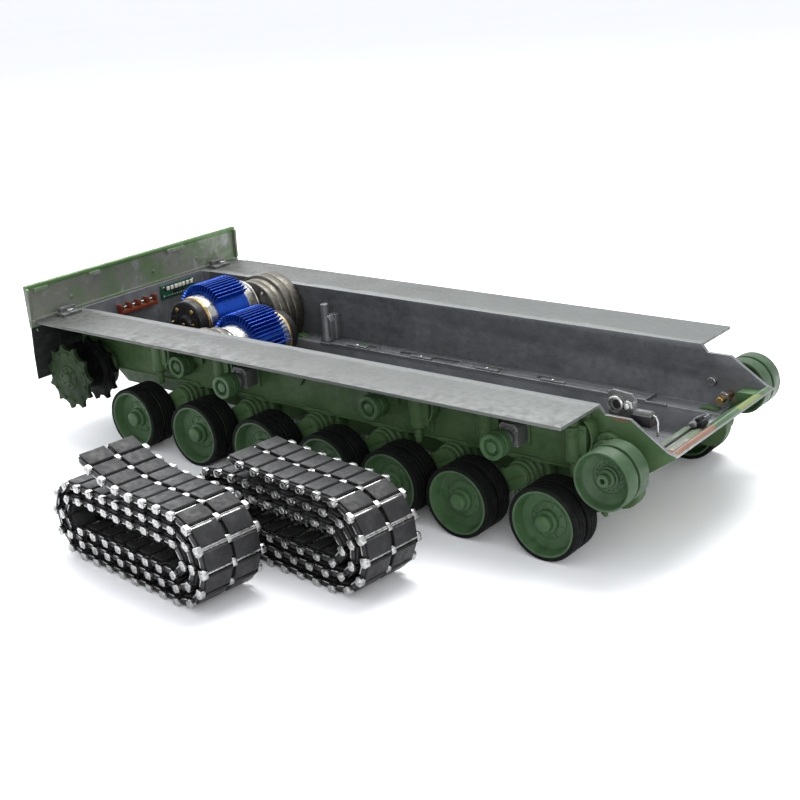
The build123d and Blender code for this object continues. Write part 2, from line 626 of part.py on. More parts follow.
def main():
    os.makedirs("parts", exist_ok=True)
    nodes = {name: solids_of(pieces) for name, pieces in all_nodes().items()}
    boxes = [solid.bounding_box() for solids in nodes.values() for solid in solids]
    shift = -(min(box.min.Y for box in boxes) + max(box.max.Y for box in boxes)) / 2
    print(f"hull centre plane at y = {shift:.3f} mm")
    for name, solids in nodes.items():
        moved = [Pos(0, shift, 0) * solid for solid in solids]
        shape = moved[0] if len(moved) == 1 else Compound(children=moved)
        export_step(shape, f"parts/{name}.step")


main()
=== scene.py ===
"""Looks of the tracked tank chassis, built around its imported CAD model.

Shapes are drawn in hull millimetres: x to the nose, y from the hull's centre plane, z up from the
ground. Form.mesh() turns them into metres in the row frame.
"""
import math
import random

import bmesh
import bpy
from mathutils import Matrix, Vector


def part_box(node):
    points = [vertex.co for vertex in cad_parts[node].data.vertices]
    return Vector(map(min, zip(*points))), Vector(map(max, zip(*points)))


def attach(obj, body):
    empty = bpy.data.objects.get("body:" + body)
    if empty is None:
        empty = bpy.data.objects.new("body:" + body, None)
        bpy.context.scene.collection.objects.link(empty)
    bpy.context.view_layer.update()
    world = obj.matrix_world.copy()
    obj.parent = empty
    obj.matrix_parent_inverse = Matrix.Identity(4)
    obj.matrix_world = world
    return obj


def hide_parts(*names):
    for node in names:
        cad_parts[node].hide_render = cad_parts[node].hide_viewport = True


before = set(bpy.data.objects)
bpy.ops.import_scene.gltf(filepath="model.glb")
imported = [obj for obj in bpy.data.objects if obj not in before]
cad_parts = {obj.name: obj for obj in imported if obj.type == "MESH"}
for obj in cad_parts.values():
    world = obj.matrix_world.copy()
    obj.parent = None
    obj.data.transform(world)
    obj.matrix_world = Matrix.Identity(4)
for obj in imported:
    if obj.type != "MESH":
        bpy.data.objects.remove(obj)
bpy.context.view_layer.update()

MM = 0.001
SIDES = {"right": -1, "left": 1}


# ------------------------------------------------------------------ places from the frame
def box_metres(node):
    low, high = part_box(node)
    return Vector(low), Vector(high)


hull_low, hull_high = box_metres("hull_floor_pan")
HULL_Y = (hull_low.y + hull_high.y) / 2


def box_mm(node):
    """Lowest and highest corner of a CAD node in hull millimetres."""
    low, high = box_metres(node)
    shift = Vector((0, HULL_Y, 0))
    return (low - shift) / MM, (high - shift) / MM


def middle_mm(node):
    low, high = box_mm(node)
    return (low + high) / 2


HULL_NODES = ["hull_floor_pan", "side_frame_right", "side_frame_left"]
WHEEL_COUNT = 7
ROLLER_COUNT = 4
WHEELS = [middle_mm(f"road_wheel_right_{k}") for k in range(1, WHEEL_COUNT + 1)]
ROLLERS = [middle_mm(f"return_roller_right_{k}") for k in range(1, ROLLER_COUNT + 1)]
WHEEL_LOW, WHEEL_HIGH = box_mm("road_wheel_left_1")
WHEEL_R = (WHEEL_HIGH.z - WHEEL_LOW.z) / 2
WHEEL_FACE = WHEEL_HIGH.y
IDLER = middle_mm("idler_wheel_right")
IDLER_LOW, IDLER_HIGH = box_mm("idler_wheel_left")
IDLER_R = (IDLER_HIGH.z - IDLER_LOW.z) / 2
IDLER_FACE = IDLER_HIGH.y
SPROCKET = Vector((-219.0, 0.0, 42.7))
CRANK = Vector((205.0, 0.0, 60.5))
ARM_LEAD = 26.4
PIVOT_Z = 34.9
ARM_FACE = 72.2
ARM_BACK = 69.6
DECK_Z = 83.5
DECK_FRONT = 197.5
REAR_X = -241.0
WALL_OUT = 62.6
WALL_IN = 60.1
LOWER_OUT = 48.5
LOWER_IN = 46.0
CHINE_Z = 43.0
BELLY_Z = 27.0
SPONSON_OUT = 101.0
NOSE_SLOPE = (61.8 - 27.0) / (244.5 - 196.0)


# ------------------------------------------------------------------ mesh building
def outward(side, inner, outer):
    """Low and high y of a span between two distances from the centre plane."""
    return (inner, outer) if side > 0 else (-outer, -inner)


class Form:
    """A mesh under construction: faces carry a material number."""

    def __init__(self):
        self.bm = bmesh.new()

    def face(self, corners, material=0):
        if len(set(corners)) < 3:
            return
        made = self.bm.faces.new(corners)
        made.material_index = material

    def extrude(self, outline, axis, low, high, material=0):
        """Prism of a flat outline. The outline's two numbers are the other two axes in x, y, z order."""
        place = {"x": lambda a, b, c: (c, a, b),
                 "y": lambda a, b, c: (a, c, b),
                 "z": lambda a, b, c: (a, b, c)}[axis]
        bottom = [self.bm.verts.new(place(a, b, low)) for a, b in outline]
        top = [self.bm.verts.new(place(a, b, high)) for a, b in outline]
        self.face(bottom, material)
        self.face(top, material)
        for k in range(len(outline)):
            after = (k + 1) % len(outline)
            self.face((bottom[k], bottom[after], top[after], top[k]), material)

    def box(self, x_low, x_high, y_low, y_high, z_low, z_high, material=0):
        outline = [(x_low, y_low), (x_high, y_low), (x_high, y_high), (x_low, y_high)]
        self.extrude(outline, "z", z_low, z_high, material)

    def side_box(self, side, x_low, x_high, inner, outer, z_low, z_high, material=0):
        self.box(x_low, x_high, *outward(side, inner, outer), z_low, z_high, material)

    def extrude_side(self, side, outline, inner, outer, material=0):
        """Prism of an (x, z) outline between two distances from the centre plane."""
        self.extrude(outline, "y", *outward(side, inner, outer), material)

    def lathe(self, profile, base, axis, material=0, steps=48, closed=False):
        """Turned form: profile holds (radius, distance along the axis from base)."""
        axis = Vector(axis).normalized()
        base = Vector(base)
        across = axis.orthogonal().normalized()
        up = axis.cross(across)
        rings = []
        for radius, along in profile:
            centre = base + axis * along
            if radius < 1e-6:
                vertex = self.bm.verts.new(centre)
                rings.append([vertex] * steps)
                continue
            ring = []
            for k in range(steps):
                angle = 2 * math.pi * k / steps
                ring.append(self.bm.verts.new(
                    centre + (across * math.cos(angle) + up * math.sin(angle)) * radius))
            rings.append(ring)
        pairs = list(zip(rings, rings[1:]))
        if closed:
            pairs.append((rings[-1], rings[0]))
        for first, second in pairs:
            for k in range(steps):
                after = (k + 1) % steps
                corners = []
                for vertex in (first[k], first[after], second[after], second[k]):
                    if vertex not in corners:
                        corners.append(vertex)
                if len(corners) >= 3:
                    self.face(corners, material)

    def lathe_side(self, side, profile, x, z, material=0, steps=48, closed=False):
        """Turned form about an axle: profile holds (radius, distance from the centre plane)."""
        self.lathe([(radius, side * along) for radius, along in profile], (x, 0, z), (0, 1, 0),
                   material, steps, closed)

    def rod(self, start, end, radius, material=0, steps=24, edge=0.0):
        """Capped round bar between two points, with broken edges."""
        start, end = Vector(start), Vector(end)
        length = (end - start).length
        edge = min(edge, radius * 0.45, length * 0.45)
        if edge > 0:
            profile = [(0, 0), (radius - edge, 0), (radius, edge), (radius, length - edge),
                       (radius - edge, length), (0, length)]
        else:
            profile = [(0, 0), (radius, 0), (radius, length), (0, length)]
        self.lathe(profile, start, end - start, material, steps)

    def rod_side(self, side, x, z, start, end, radius, material=0, steps=24, edge=0.0):
        """Round bar across the hull between two distances from the centre plane."""
        self.rod((x, side * start, z), (x, side * end, z), radius, material, steps, edge)

    def tube(self, start, end, outer, inner, material=0, steps=32, edge=0.0):
        start, end = Vector(start), Vector(end)
        length = (end - start).length
        profile = [(inner, 0), (outer - edge, 0), (outer, edge), (outer, length - edge),
                   (outer - edge, length), (inner, length)]
        self.lathe(profile, start, end - start, material, steps, closed=True)

    def tube_side(self, side, x, z, start, end, outer, inner, material=0, steps=32, edge=0.0):
        """Pipe across the hull between two distances from the centre plane."""
        self.tube((x, side * start, z), (x, side * end, z), outer, inner, material, steps, edge)

    def bolt(self, side, x, z, away, radius, height, material=0):
        """Bolt head facing outwards, standing on a face at a distance from the centre plane."""
        self.hexagon((x, side * away, z), (0, side, 0), radius, height, material)

    def hexagon(self, centre, axis, radius, height, material=0):
        """Hexagonal nut or bolt head with a chamfered top, standing on centre."""
        axis = Vector(axis).normalized()
        across = axis.orthogonal().normalized()
        up = axis.cross(across)
        centre = Vector(centre)
        rings = []
        for share, along in ((1.0, 0.0), (1.0, height * 0.8), (0.84, height)):
            ring = []
            for k in range(6):
                angle = math.pi / 3 * k
                ring.append(self.bm.verts.new(
                    centre + axis * along
                    + (across * math.cos(angle) + up * math.sin(angle)) * radius * share))
            rings.append(ring)
        self.face(rings[0], material)
        self.face(rings[-1], material)
        for first, second in zip(rings, rings[1:]):
            for k in range(6):
                after = (k + 1) % 6
                self.face((first[k], first[after], second[after], second[k]), material)

    def sweep(self, path, radius, material=0, steps=12):
        """Round tube along a list of points."""
        points = [Vector(p) for p in path]
        rings = []
        up = Vector((0, 0, 1))
        for k, point in enumerate(points):
            before = points[max(0, k - 1)]
            after = points[min(len(points) - 1, k + 1)]
            along = (after - before).normalized()
            if abs(along.dot(up)) > 0.95:
                up = Vector((0, 1, 0))
            first = along.cross(up).normalized()
            second = along.cross(first).normalized()
            up = first.cross(along).normalized()
            ring = [self.bm.verts.new(point + (first * math.cos(2 * math.pi * n / steps)
                                               + second * math.sin(2 * math.pi * n / steps)) * radius)
                    for n in range(steps)]
            rings.append(ring)
        self.face(rings[0], material)
        self.face(rings[-1], material)
        for first, second in zip(rings, rings[1:]):
            for k in range(steps):
                after = (k + 1) % steps
                self.face((first[k], first[after], second[after], second[k]), material)

    def mesh(self, name, bevel=0.25, sharp=32.0, local=False, segments=2):
        """Finished mesh in metres: bevelled edges, and smooth shading between sharp ones."""
        bmesh.ops.recalc_face_normals(self.bm, faces=self.bm.faces)
        if local:
            self.bm.transform(Matrix.Scale(MM, 4))
        else:
            self.bm.transform(Matrix.Translation((0, HULL_Y, 0)) @ Matrix.Scale(MM, 4))
        mesh = bpy.data.meshes.new(name)
        self.bm.to_mesh(mesh)
        self.bm.free()
        return rounded(mesh, name, bevel * MM, sharp, segments)


def rounded(mesh, name, width, sharp, segments=2):
    """The mesh with its sharp edges bevelled and its shading set."""
    if width > 0:
        draft = bpy.data.objects.new("draft", mesh)
        bpy.context.scene.collection.objects.link(draft)
        bevel = draft.modifiers.new("bevel", "BEVEL")
        bevel.width = width
        bevel.segments = segments
        bevel.limit_method = "ANGLE"
        bevel.angle_limit = math.radians(sharp)
        bevel.miter_outer = "MITER_ARC"
        bevel.harden_normals = False
        bpy.context.view_layer.update()
        graph = bpy.context.evaluated_depsgraph_get()
        done = bpy.data.meshes.new_from_object(draft.evaluated_get(graph))
        done.name = name
        bpy.data.objects.remove(draft)
        bpy.data.meshes.remove(mesh)
        mesh = done
    mesh.shade_smooth()
    mesh.set_sharp_from_angle(angle=math.radians(sharp))
    return mesh


def add_piece(name, mesh, materials, body, replaces=(), at=None, turn=None):
    """A piece from a mesh, riding on a body. at is its place in hull millimetres."""
    if not mesh.materials:
        for material in materials:
            mesh.materials.append(material)
    if turn is not None:
        mesh = mesh.copy()
        mesh.transform(turn)
    piece = bpy.data.objects.new(name, mesh)
    bpy.context.scene.collection.objects.link(piece)
    if at is not None:
        place = Vector(at) * MM + Vector((0, HULL_Y, 0))
        piece.matrix_world = Matrix.Translation(place)
    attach(piece, body)
    if replaces:
        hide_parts(*replaces)
    return piece


def ring_of(count, radius, x=0.0, z=0.0, phase=0.0):
    """Evenly spaced (x, z) points on a circle."""
    step = 2 * math.pi / count
    return [(x + radius * math.cos(phase + k * step), z + radius * math.sin(phase + k * step))
            for k in range(count)]


# ------------------------------------------------------------------ materials
class Look:
    """A Principled material whose colour, roughness and bump come from small node chains."""

    def __init__(self, name, colour, roughness, metallic=0.0, specular=0.5):
        self.material = bpy.data.materials.new(name)
        self.material.use_nodes = True
        self.material.diffuse_color = (*colour, 1)
        self.tree = self.material.node_tree
        self.surface = self.tree.nodes["Principled BSDF"]
        self.surface.inputs["Metallic"].default_value = metallic
        self.surface.inputs["Specular IOR Level"].default_value = specular
        self.surface.inputs["Roughness"].default_value = roughness
        self.surface.inputs["Base Color"].default_value = (*colour, 1)
        coordinates = self.tree.nodes.new("ShaderNodeTexCoord")
        own = self.tree.nodes.new("ShaderNodeObjectInfo")
        shift = self.tree.nodes.new("ShaderNodeVectorMath")
        shift.operation = "MULTIPLY_ADD"
        self.tree.links.new(own.outputs["Random"], shift.inputs[0])
        shift.inputs[1].default_value = (0.7, 0.9, 1.1)
        self.tree.links.new(coordinates.outputs["Object"], shift.inputs[2])
        self.fixed = coordinates.outputs["Object"]
        self.place = shift.outputs[0]
        self.colour = None
        self.height = None

    def noise(self, size, detail=4.0, rough=0.55, stretch=(1, 1, 1), distortion=0.0):
        """Noise whose blobs are about size millimetres across."""
        place = self.place
        if stretch != (1, 1, 1):
            scale = self.tree.nodes.new("ShaderNodeVectorMath")
            scale.operation = "MULTIPLY"
            scale.inputs[1].default_value = stretch
            self.tree.links.new(place, scale.inputs[0])
            place = scale.outputs[0]
        node = self.tree.nodes.new("ShaderNodeTexNoise")
        node.inputs["Scale"].default_value = 1.0 / (size * MM)
        node.inputs["Detail"].default_value = detail
        node.inputs["Roughness"].default_value = rough
        node.inputs["Distortion"].default_value = distortion
        self.tree.links.new(place, node.inputs["Vector"])
        return node.outputs["Fac"]

    def ramp(self, value, low, high, to_low=0.0, to_high=1.0):
        """value mapped smoothly from low..high to to_low..to_high."""
        node = self.tree.nodes.new("ShaderNodeMapRange")
        node.interpolation_type = "SMOOTHSTEP"
        node.inputs["From Min"].default_value = low
        node.inputs["From Max"].default_value = high
        node.inputs["To Min"].default_value = to_low
        node.inputs["To Max"].default_value = to_high
        self.tree.links.new(value, node.inputs["Value"])
        return node.outputs["Result"]

    def maths(self, operation, first, second=None):
        node = self.tree.nodes.new("ShaderNodeMath")
        node.operation = operation
        for number, value in enumerate((first, second)):
            if value is None:
                continue
            if isinstance(value, (int, float)):
                node.inputs[number].default_value = value
            else:
                self.tree.links.new(value, node.inputs[number])
        return node.outputs[0]

    def axis(self, number):
        node = self.tree.nodes.new("ShaderNodeSeparateXYZ")
        self.tree.links.new(self.fixed, node.inputs[0])
        return node.outputs[number]

    def blend(self, share, second, first=None):
        """Mixes a colour (or a colour output) over what there is, by share."""
        node = self.tree.nodes.new("ShaderNodeMix")
        node.data_type = "RGBA"
        base = self.colour if first is None else first
        for socket, value in ((6, base), (7, second)):
            if isinstance(value, tuple):
                node.inputs[socket].default_value = (*value, 1)
            elif value is None:
                node.inputs[socket].default_value = self.surface.inputs["Base Color"].default_value
            else:
                self.tree.links.new(value, node.inputs[socket])
        self.tree.links.new(share, node.inputs[0])
        self.colour = node.outputs[2]
        return self.colour

    def stain(self, noise, low, high, colour, share=1.0, base=None):
        """Blends a colour in where a noise rises from low to high; noise holds its arguments."""
        self.blend(self.ramp(self.noise(*noise), low, high, 0.0, share), colour, base)

    def edges(self, radius, low=0.02, high=0.25):
        """Near 1 close to a sharp outer edge, and 0 on flat stretches."""
        bevel = self.tree.nodes.new("ShaderNodeBevel")
        bevel.samples = 4
        bevel.inputs["Radius"].default_value = radius * MM
        geometry = self.tree.nodes.new("ShaderNodeNewGeometry")
        dot = self.tree.nodes.new("ShaderNodeVectorMath")
        dot.operation = "DOT_PRODUCT"
        self.tree.links.new(bevel.outputs[0], dot.inputs[0])
        self.tree.links.new(geometry.outputs["Normal"], dot.inputs[1])
        away = self.maths("SUBTRACT", 1.0, dot.outputs["Value"])
        return self.ramp(away, low, high)

    def roughness(self, value, low, high, to_low, to_high):
        self.tree.links.new(self.ramp(value, low, high, to_low, to_high),
                            self.surface.inputs["Roughness"])

    def bump(self, value, depth, strength=1.0):
        """Adds a bump of about depth millimetres."""
        node = self.tree.nodes.new("ShaderNodeBump")
        node.inputs["Distance"].default_value = depth * MM
        node.inputs["Strength"].default_value = strength
        self.tree.links.new(value, node.inputs["Height"])
        if self.height is not None:
            self.tree.links.new(self.height, node.inputs["Normal"])
        self.height = node.outputs[0]

    def shine(self, noise, low, high):
        """Roughness that drifts between low and high."""
        self.roughness(self.noise(*noise), 0.3, 0.7, low, high)

    def grain(self, noise, depth, strength=1.0):
        """Bump from a noise of its own."""
        self.bump(self.noise(*noise), depth, strength)

    def done(self):
        if self.colour is not None:
            self.tree.links.new(self.colour, self.surface.inputs["Base Color"])
        if self.height is not None:
            self.tree.links.new(self.height, self.surface.inputs["Normal"])
        return self.material


def painted(name, colour, light, dark, gloss=0.5, wear_and_highlight=0.35, specular=0.25, patches=False):
    """Sprayed paint over metal: cloudy tone, dusty patches, pale edges (partly paint rubbed through, partly
    a painted highlight), fine orange peel.
    """
    look = Look(name, colour, gloss, specular=specular)
    look.stain((22, 3), 0.35, 0.7, light, base=colour)
    look.stain((9, 5, 0.65), 0.5, 0.72, dark, 0.7)
    look.stain((1.6, 4, 0.7), 0.6, 0.78, light, 0.35)
    if patches:
        # brown camouflage starts near the nose
        brown = look.ramp(look.noise(21, 1.5, 0.4, (1, 0.55, 1), 0.3), 0.55, 0.59)
        nose = look.ramp(look.axis(0), 0.203, 0.212)
        look.blend(look.maths("MULTIPLY", brown, nose), (0.105, 0.050, 0.030))
    # pale edges: partly paint rubbed through to metal, partly a painted highlight along sharp edges
    worn_and_highlit = look.maths("MULTIPLY", look.edges(0.5), look.ramp(look.noise(3.0, 3), 0.3, 0.6, 0.35, 1.0))
    pale = tuple(min(1.0, channel * 1.5 + 0.03) for channel in light)
    look.blend(look.maths("MULTIPLY", worn_and_highlit, wear_and_highlight), pale)
    look.shine((6, 4), gloss - 0.1, gloss + 0.15)
    look.grain((0.7, 3), 0.03, 0.5)
    look.grain((5, 3), 0.12, 0.5)
    return look.done()


def cast_metal(name, colour, light, dark, rough=0.5, grain=0.12, metallic=0.75, strip=False):
    """Bare die-cast alloy: stains, long pale smears, scratches, and bright edges that are partly broken
    metal and partly a painted highlight.
    """
    look = Look(name, colour, rough, metallic)
    look.stain((26, 4, 0.6), 0.3, 0.75, light, 0.7, base=colour)
    look.stain((12, 5, 0.65, (0.3, 1, 1), 0.4), 0.48, 0.75, dark, 0.55)
    look.stain((4, 6, 0.7, (0.12, 1, 1)), 0.56, 0.74, light, 0.55)
    look.stain((1.1, 4, 0.75), 0.6, 0.75, dark, 0.45)
    if strip:
        inner = look.maths("ABSOLUTE", look.maths("SUBTRACT", look.axis(1), HULL_Y))
        ragged = look.maths("MULTIPLY", look.noise(9, 5, 0.7, (0.4, 1, 1)), 0.012)
        band = look.ramp(look.maths("SUBTRACT", inner, ragged), 0.0602, 0.0592)
        look.blend(look.maths("MULTIPLY", band, 0.6), (0.19, 0.195, 0.195))
        # painted highlight: the deck turns lighter towards the nose
        noseward_highlight = look.ramp(look.axis(0), -0.20, 0.22, 0.0, 0.65)
        look.blend(noseward_highlight, (0.118, 0.127, 0.123))
    # bright edges: partly broken metal, partly a painted highlight
    bright = tuple(min(1.0, channel * 1.25 + 0.28) for channel in light)
    look.blend(look.maths("MULTIPLY", look.edges(0.9, 0.03, 0.3), 0.85), bright)
    look.shine((5, 5, 0.65), rough - 0.14, rough + 0.16)
    look.grain((0.9, 4, 0.6), grain, 0.5)
    look.grain((7, 4, 0.6), grain * 3, 0.45)
    return look.done()


def plain_metal(name, colour, rough, stain, metallic=1.0, turned=None, grain=0.03, stains=6.0):
    """Machined or plated metal with faint stains; turned gives fine marks along one axis."""
    look = Look(name, colour, rough, metallic)
    look.stain((stains, 5, 0.65), 0.42, 0.72, stain, 0.8, base=colour)
    # painted highlight: sharp edges lightened
    bright = tuple(min(1.0, channel * 1.3 + 0.1) for channel in colour)
    look.blend(look.maths("MULTIPLY", look.edges(0.25, 0.03, 0.3), 0.7), bright)
    look.shine((2.5, 4, 0.6), max(0.05, rough - 0.1), rough + 0.14)
    if turned:
        look.grain((0.5, 2, 0.5, turned), grain, 0.7)
    look.grain((0.8, 4), grain, 0.5)
    return look.done()


def moulded(name, colour, light, rough=0.6, grain=0.05, edge=0.4, specular=0.22):
    """Rubber or plastic: faint dust, pale edges that are partly scuffs and partly a painted highlight, and a
    fine grain.
    """
    look = Look(name, colour, rough, specular=specular)
    look.stain((7, 5, 0.65), 0.45, 0.75, light, 0.6, base=colour)
    look.stain((0.8, 4, 0.7), 0.58, 0.72, light, 0.35)
    # pale edges: partly scuffs, partly a painted highlight
    look.blend(look.maths("MULTIPLY", look.edges(0.35, 0.03, 0.3), edge), tuple(c * 2.2 for c in light))
    look.shine((3, 4), rough - 0.12, rough + 0.12)
    look.grain((0.35, 3), grain, 0.6)
    return look.done()


def camouflaged(name):
    """Green nose paint with brown and yellow-green patches, each with a soft sprayed edge."""
    look = Look(name, (0.035, 0.085, 0.03), 0.5, specular=0.25)
    look.stain((22, 3), 0.35, 0.7, (0.055, 0.115, 0.045), base=(0.03, 0.07, 0.027))
    brown = look.ramp(look.noise(26, 1.5, 0.4, (1, 0.55, 1), 0.3), 0.53, 0.57)
    look.blend(brown, (0.16, 0.072, 0.04))
    yellow = look.ramp(look.noise(41, 1.5, 0.4), 0.6, 0.63)
    look.blend(yellow, (0.13, 0.17, 0.04))
    look.stain((3, 4, 0.7), 0.55, 0.75, (0.10, 0.12, 0.08), 0.4)
    # painted highlight along sharp edges
    look.blend(look.maths("MULTIPLY", look.edges(0.6), 0.5), (0.2, 0.24, 0.16))
    look.shine((6, 4), 0.42, 0.65)
    look.grain((0.7, 3), 0.03, 0.5)
    look.grain((5, 3), 0.12, 0.5)
    return look.done()


def washed_plate(name):
    """Rear plate's inner face: a thin green wash over bare metal, streaked and rubbed, with pale edges that
    are partly rubbed metal and partly a painted highlight.
    """
    look = Look(name, (0.10, 0.12, 0.085), 0.5, 0.45)
    look.stain((24, 4, 0.6), 0.38, 0.66, (0.09, 0.135, 0.07), base=(0.14, 0.145, 0.125))
    look.stain((11, 5, 0.7, (1, 0.6, 0.5), 0.5), 0.52, 0.7, (0.24, 0.24, 0.25), 0.8)
    look.stain((5, 5, 0.7), 0.55, 0.75, (0.05, 0.06, 0.045), 0.5)
    top = look.ramp(look.axis(2), 0.1052, 0.1068)
    look.blend(look.maths("MULTIPLY", top, 0.85), (0.07, 0.15, 0.045))
    # pale edges: partly rubbed metal, partly a painted highlight
    look.blend(look.maths("MULTIPLY", look.edges(0.7), 0.6), (0.34, 0.38, 0.27))
    look.shine((6, 4), 0.4, 0.65)
    look.grain((0.9, 4), 0.06, 0.5)
    look.grain((9, 4), 0.3, 0.4)
    return look.done()


GREEN = painted("green_paint", (0.036, 0.072, 0.026), (0.052, 0.094, 0.038), (0.023, 0.049, 0.018))
HULL_GREEN = painted("hull_paint", (0.036, 0.072, 0.026), (0.052, 0.094, 0.038), (0.023, 0.049, 0.018),
                     patches=True)
WHEEL_GREEN = painted("wheel_paint", (0.031, 0.068, 0.027), (0.046, 0.092, 0.040), (0.020, 0.046, 0.018),
                      0.42, 0.9)
# the wheels' green paint again, made darker: painted shade on the idler
IDLER_GREEN_SHADED = painted("idler_paint_shaded", (0.028, 0.058, 0.025), (0.040, 0.078, 0.035), (0.019, 0.041, 0.017),
                      0.42, 0.9)
# the green paint made much darker: painted shade, the sprocket sitting in the sponson's shadow
SPROCKET_GREEN_SHADED = painted("sprocket_paint_shaded", (0.011, 0.021, 0.009), (0.020, 0.036, 0.015),
                         (0.006, 0.012, 0.005), 0.55, 0.9, 0.12)
CAMOUFLAGE = camouflaged("nose_paint")
# deck and tub inside are one bare casting in two tones: the difference is painted light and shade for how
# light falls on the top and inside, not two finishes
DECK_METAL = cast_metal("deck_casting", (0.066, 0.069, 0.064), (0.096, 0.100, 0.094), (0.044, 0.046, 0.041),
                        0.52, 0.10, 0.3, strip=True)
TUB_METAL = cast_metal("tub_casting", (0.115, 0.119, 0.126), (0.175, 0.179, 0.187), (0.062, 0.065, 0.071),
                       0.46, 0.22, 0.55)
PLATE_METAL = washed_plate("rear_plate_wash")
BRACKET_METAL = cast_metal("bracket_casting", (0.085, 0.088, 0.088), (0.13, 0.134, 0.13),
                           (0.045, 0.048, 0.048), 0.5, 0.1, 0.5)
NICKEL = plain_metal("track_nickel", (0.47, 0.47, 0.46), 0.24, (0.10, 0.10, 0.10), grain=0.08, stains=2.2)
DARK_LINK = plain_metal("track_dark", (0.022, 0.022, 0.023), 0.38, (0.010, 0.010, 0.010), 0.6)
PAD_RUBBER = moulded("track_pad_rubber", (0.016, 0.016, 0.0165), (0.038, 0.038, 0.039), 0.5, 0.06, 0.9)
TYRE_RUBBER = moulded("tyre_rubber", (0.0035, 0.0038, 0.0038), (0.010, 0.0105, 0.0100), 0.68, 0.04, 0.4,
                      0.10)
FLAP_RUBBER = moulded("flap_rubber", (0.009, 0.011, 0.010), (0.026, 0.030, 0.026), 0.55, 0.04, 0.5)
# near-black standing for the shade deep inside the sprocket: painted shade
SPROCKET_SHADOW_BLACK = moulded("sprocket_shadow_black", (0.0025, 0.0028, 0.0028), (0.007, 0.0075, 0.0075), 0.55, 0.04, 0.9,
                        0.06)
BLUE = plain_metal("blue_anodised", (0.004, 0.050, 0.34), 0.30, (0.003, 0.028, 0.21), 0.8, (1, 0.06, 1))
CAN_SILVER = plain_metal("motor_can", (0.43, 0.425, 0.39), 0.30, (0.25, 0.245, 0.21), 1.0, (1, 14, 1))
GEAR_STEEL = plain_metal("gear_steel", (0.125, 0.118, 0.098), 0.38, (0.055, 0.051, 0.042), 0.9)
ZINC = plain_metal("zinc_steel", (0.42, 0.42, 0.41), 0.28, (0.2, 0.2, 0.19))
BRASS = plain_metal("brass", (0.50, 0.34, 0.13), 0.27, (0.24, 0.16, 0.06))
BLACK_PLASTIC = moulded("black_plastic", (0.008, 0.008, 0.009), (0.025, 0.025, 0.028), 0.4, 0.03, 0.5)
WHITE_PLASTIC = moulded("white_plastic", (0.50, 0.49, 0.45), (0.62, 0.61, 0.56), 0.45, 0.03, 0.1)
BOARD_GREEN = moulded("board_green", (0.008, 0.060, 0.034), (0.022, 0.11, 0.06), 0.35, 0.03, 0.3)
TERMINAL_BROWN = moulded("terminal_brown", (0.12, 0.022, 0.010), (0.20, 0.045, 0.022), 0.38, 0.04, 0.4)


# ------------------------------------------------------------------ camera, floor and light
def add_camera():
    """Camera in hull millimetres, aimed by its own right, up and forward directions."""
    data = bpy.data.cameras.new("camera")
    data.lens = 59.53
    data.sensor_width = 36.0
    data.clip_start = 0.01
    data.clip_end = 60.0
    camera = bpy.data.objects.new("camera", data)
    bpy.context.scene.collection.objects.link(camera)
    azimuth, elevation, roll = (math.radians(a) for a in (39.47, 19.58, -3.804))
    forward = Vector((-math.sin(azimuth) * math.cos(elevation), math.cos(azimuth) * math.cos(elevation),
                      -math.sin(elevation)))
    level = forward.cross(Vector((0, 0, 1))).normalized()
    upright = level.cross(forward)
    right = level * math.cos(roll) + upright * math.sin(roll)
    up = right.cross(forward)
    place = Vector((539.70, -645.21, 331.28)) * MM + Vector((0, HULL_Y, 0))
    turn = Matrix((right, up, -forward)).transposed().to_4x4()
    camera.matrix_world = Matrix.Translation(place) @ turn
    bpy.context.scene.camera = camera


def add_floor():
    bm = bmesh.new()
    bmesh.ops.create_grid(bm, x_segments=8, y_segments=8, size=14.0)
    mesh = bpy.data.meshes.new("floor")
    bm.to_mesh(mesh)
    bm.free()
    look = Look("floor_paper", (0.93, 0.93, 0.95), 0.55, specular=0.25)
    look.stain((400, 2), 0.3, 0.7, (0.94, 0.94, 0.955), base=(0.925, 0.925, 0.945))
    mesh.materials.append(look.done())
    floor = bpy.data.objects.new("floor", mesh)
    bpy.context.scene.collection.objects.link(floor)


def add_area(name, place, aim, size, power, colour=(1, 1, 1)):
    data = bpy.data.lights.new(name, "AREA")
    data.shape = "RECTANGLE"
    data.size, data.size_y = size
    data.energy = power
    data.color = colour
    light = bpy.data.objects.new(name, data)
    bpy.context.scene.collection.objects.link(light)
    direction = Vector(aim) - Vector(place)
    light.matrix_world = (Matrix.Translation(Vector(place))
                          @ direction.to_track_quat("-Z", "Y").to_matrix().to_4x4())


def add_lights():
    world = bpy.data.worlds.new("studio")
    bpy.context.scene.world = world
    world.use_nodes = True
    background = world.node_tree.nodes["Background"]
    background.inputs["Color"].default_value = (0.945, 0.965, 1.0, 1)
    background.inputs["Strength"].default_value = 1.06
    middle = (0.0, HULL_Y, 0.05)
    add_area("top_softbox", (-0.25, HULL_Y + 0.55, 1.5), middle, (1.5, 1.0), 40.0)
    add_area("front_softbox", (1.3, HULL_Y - 1.3, 0.75), middle, (1.0, 0.8), 11.0, (1.0, 0.99, 0.97))
    add_area("rear_softbox", (-1.4, HULL_Y + 0.5, 0.9), middle, (0.9, 0.9), 10.0, (0.96, 0.98, 1.0))
    bpy.context.scene.view_settings.view_transform = "Standard"
    bpy.context.scene.view_settings.look = "None"


add_camera()
add_floor()
add_lights()


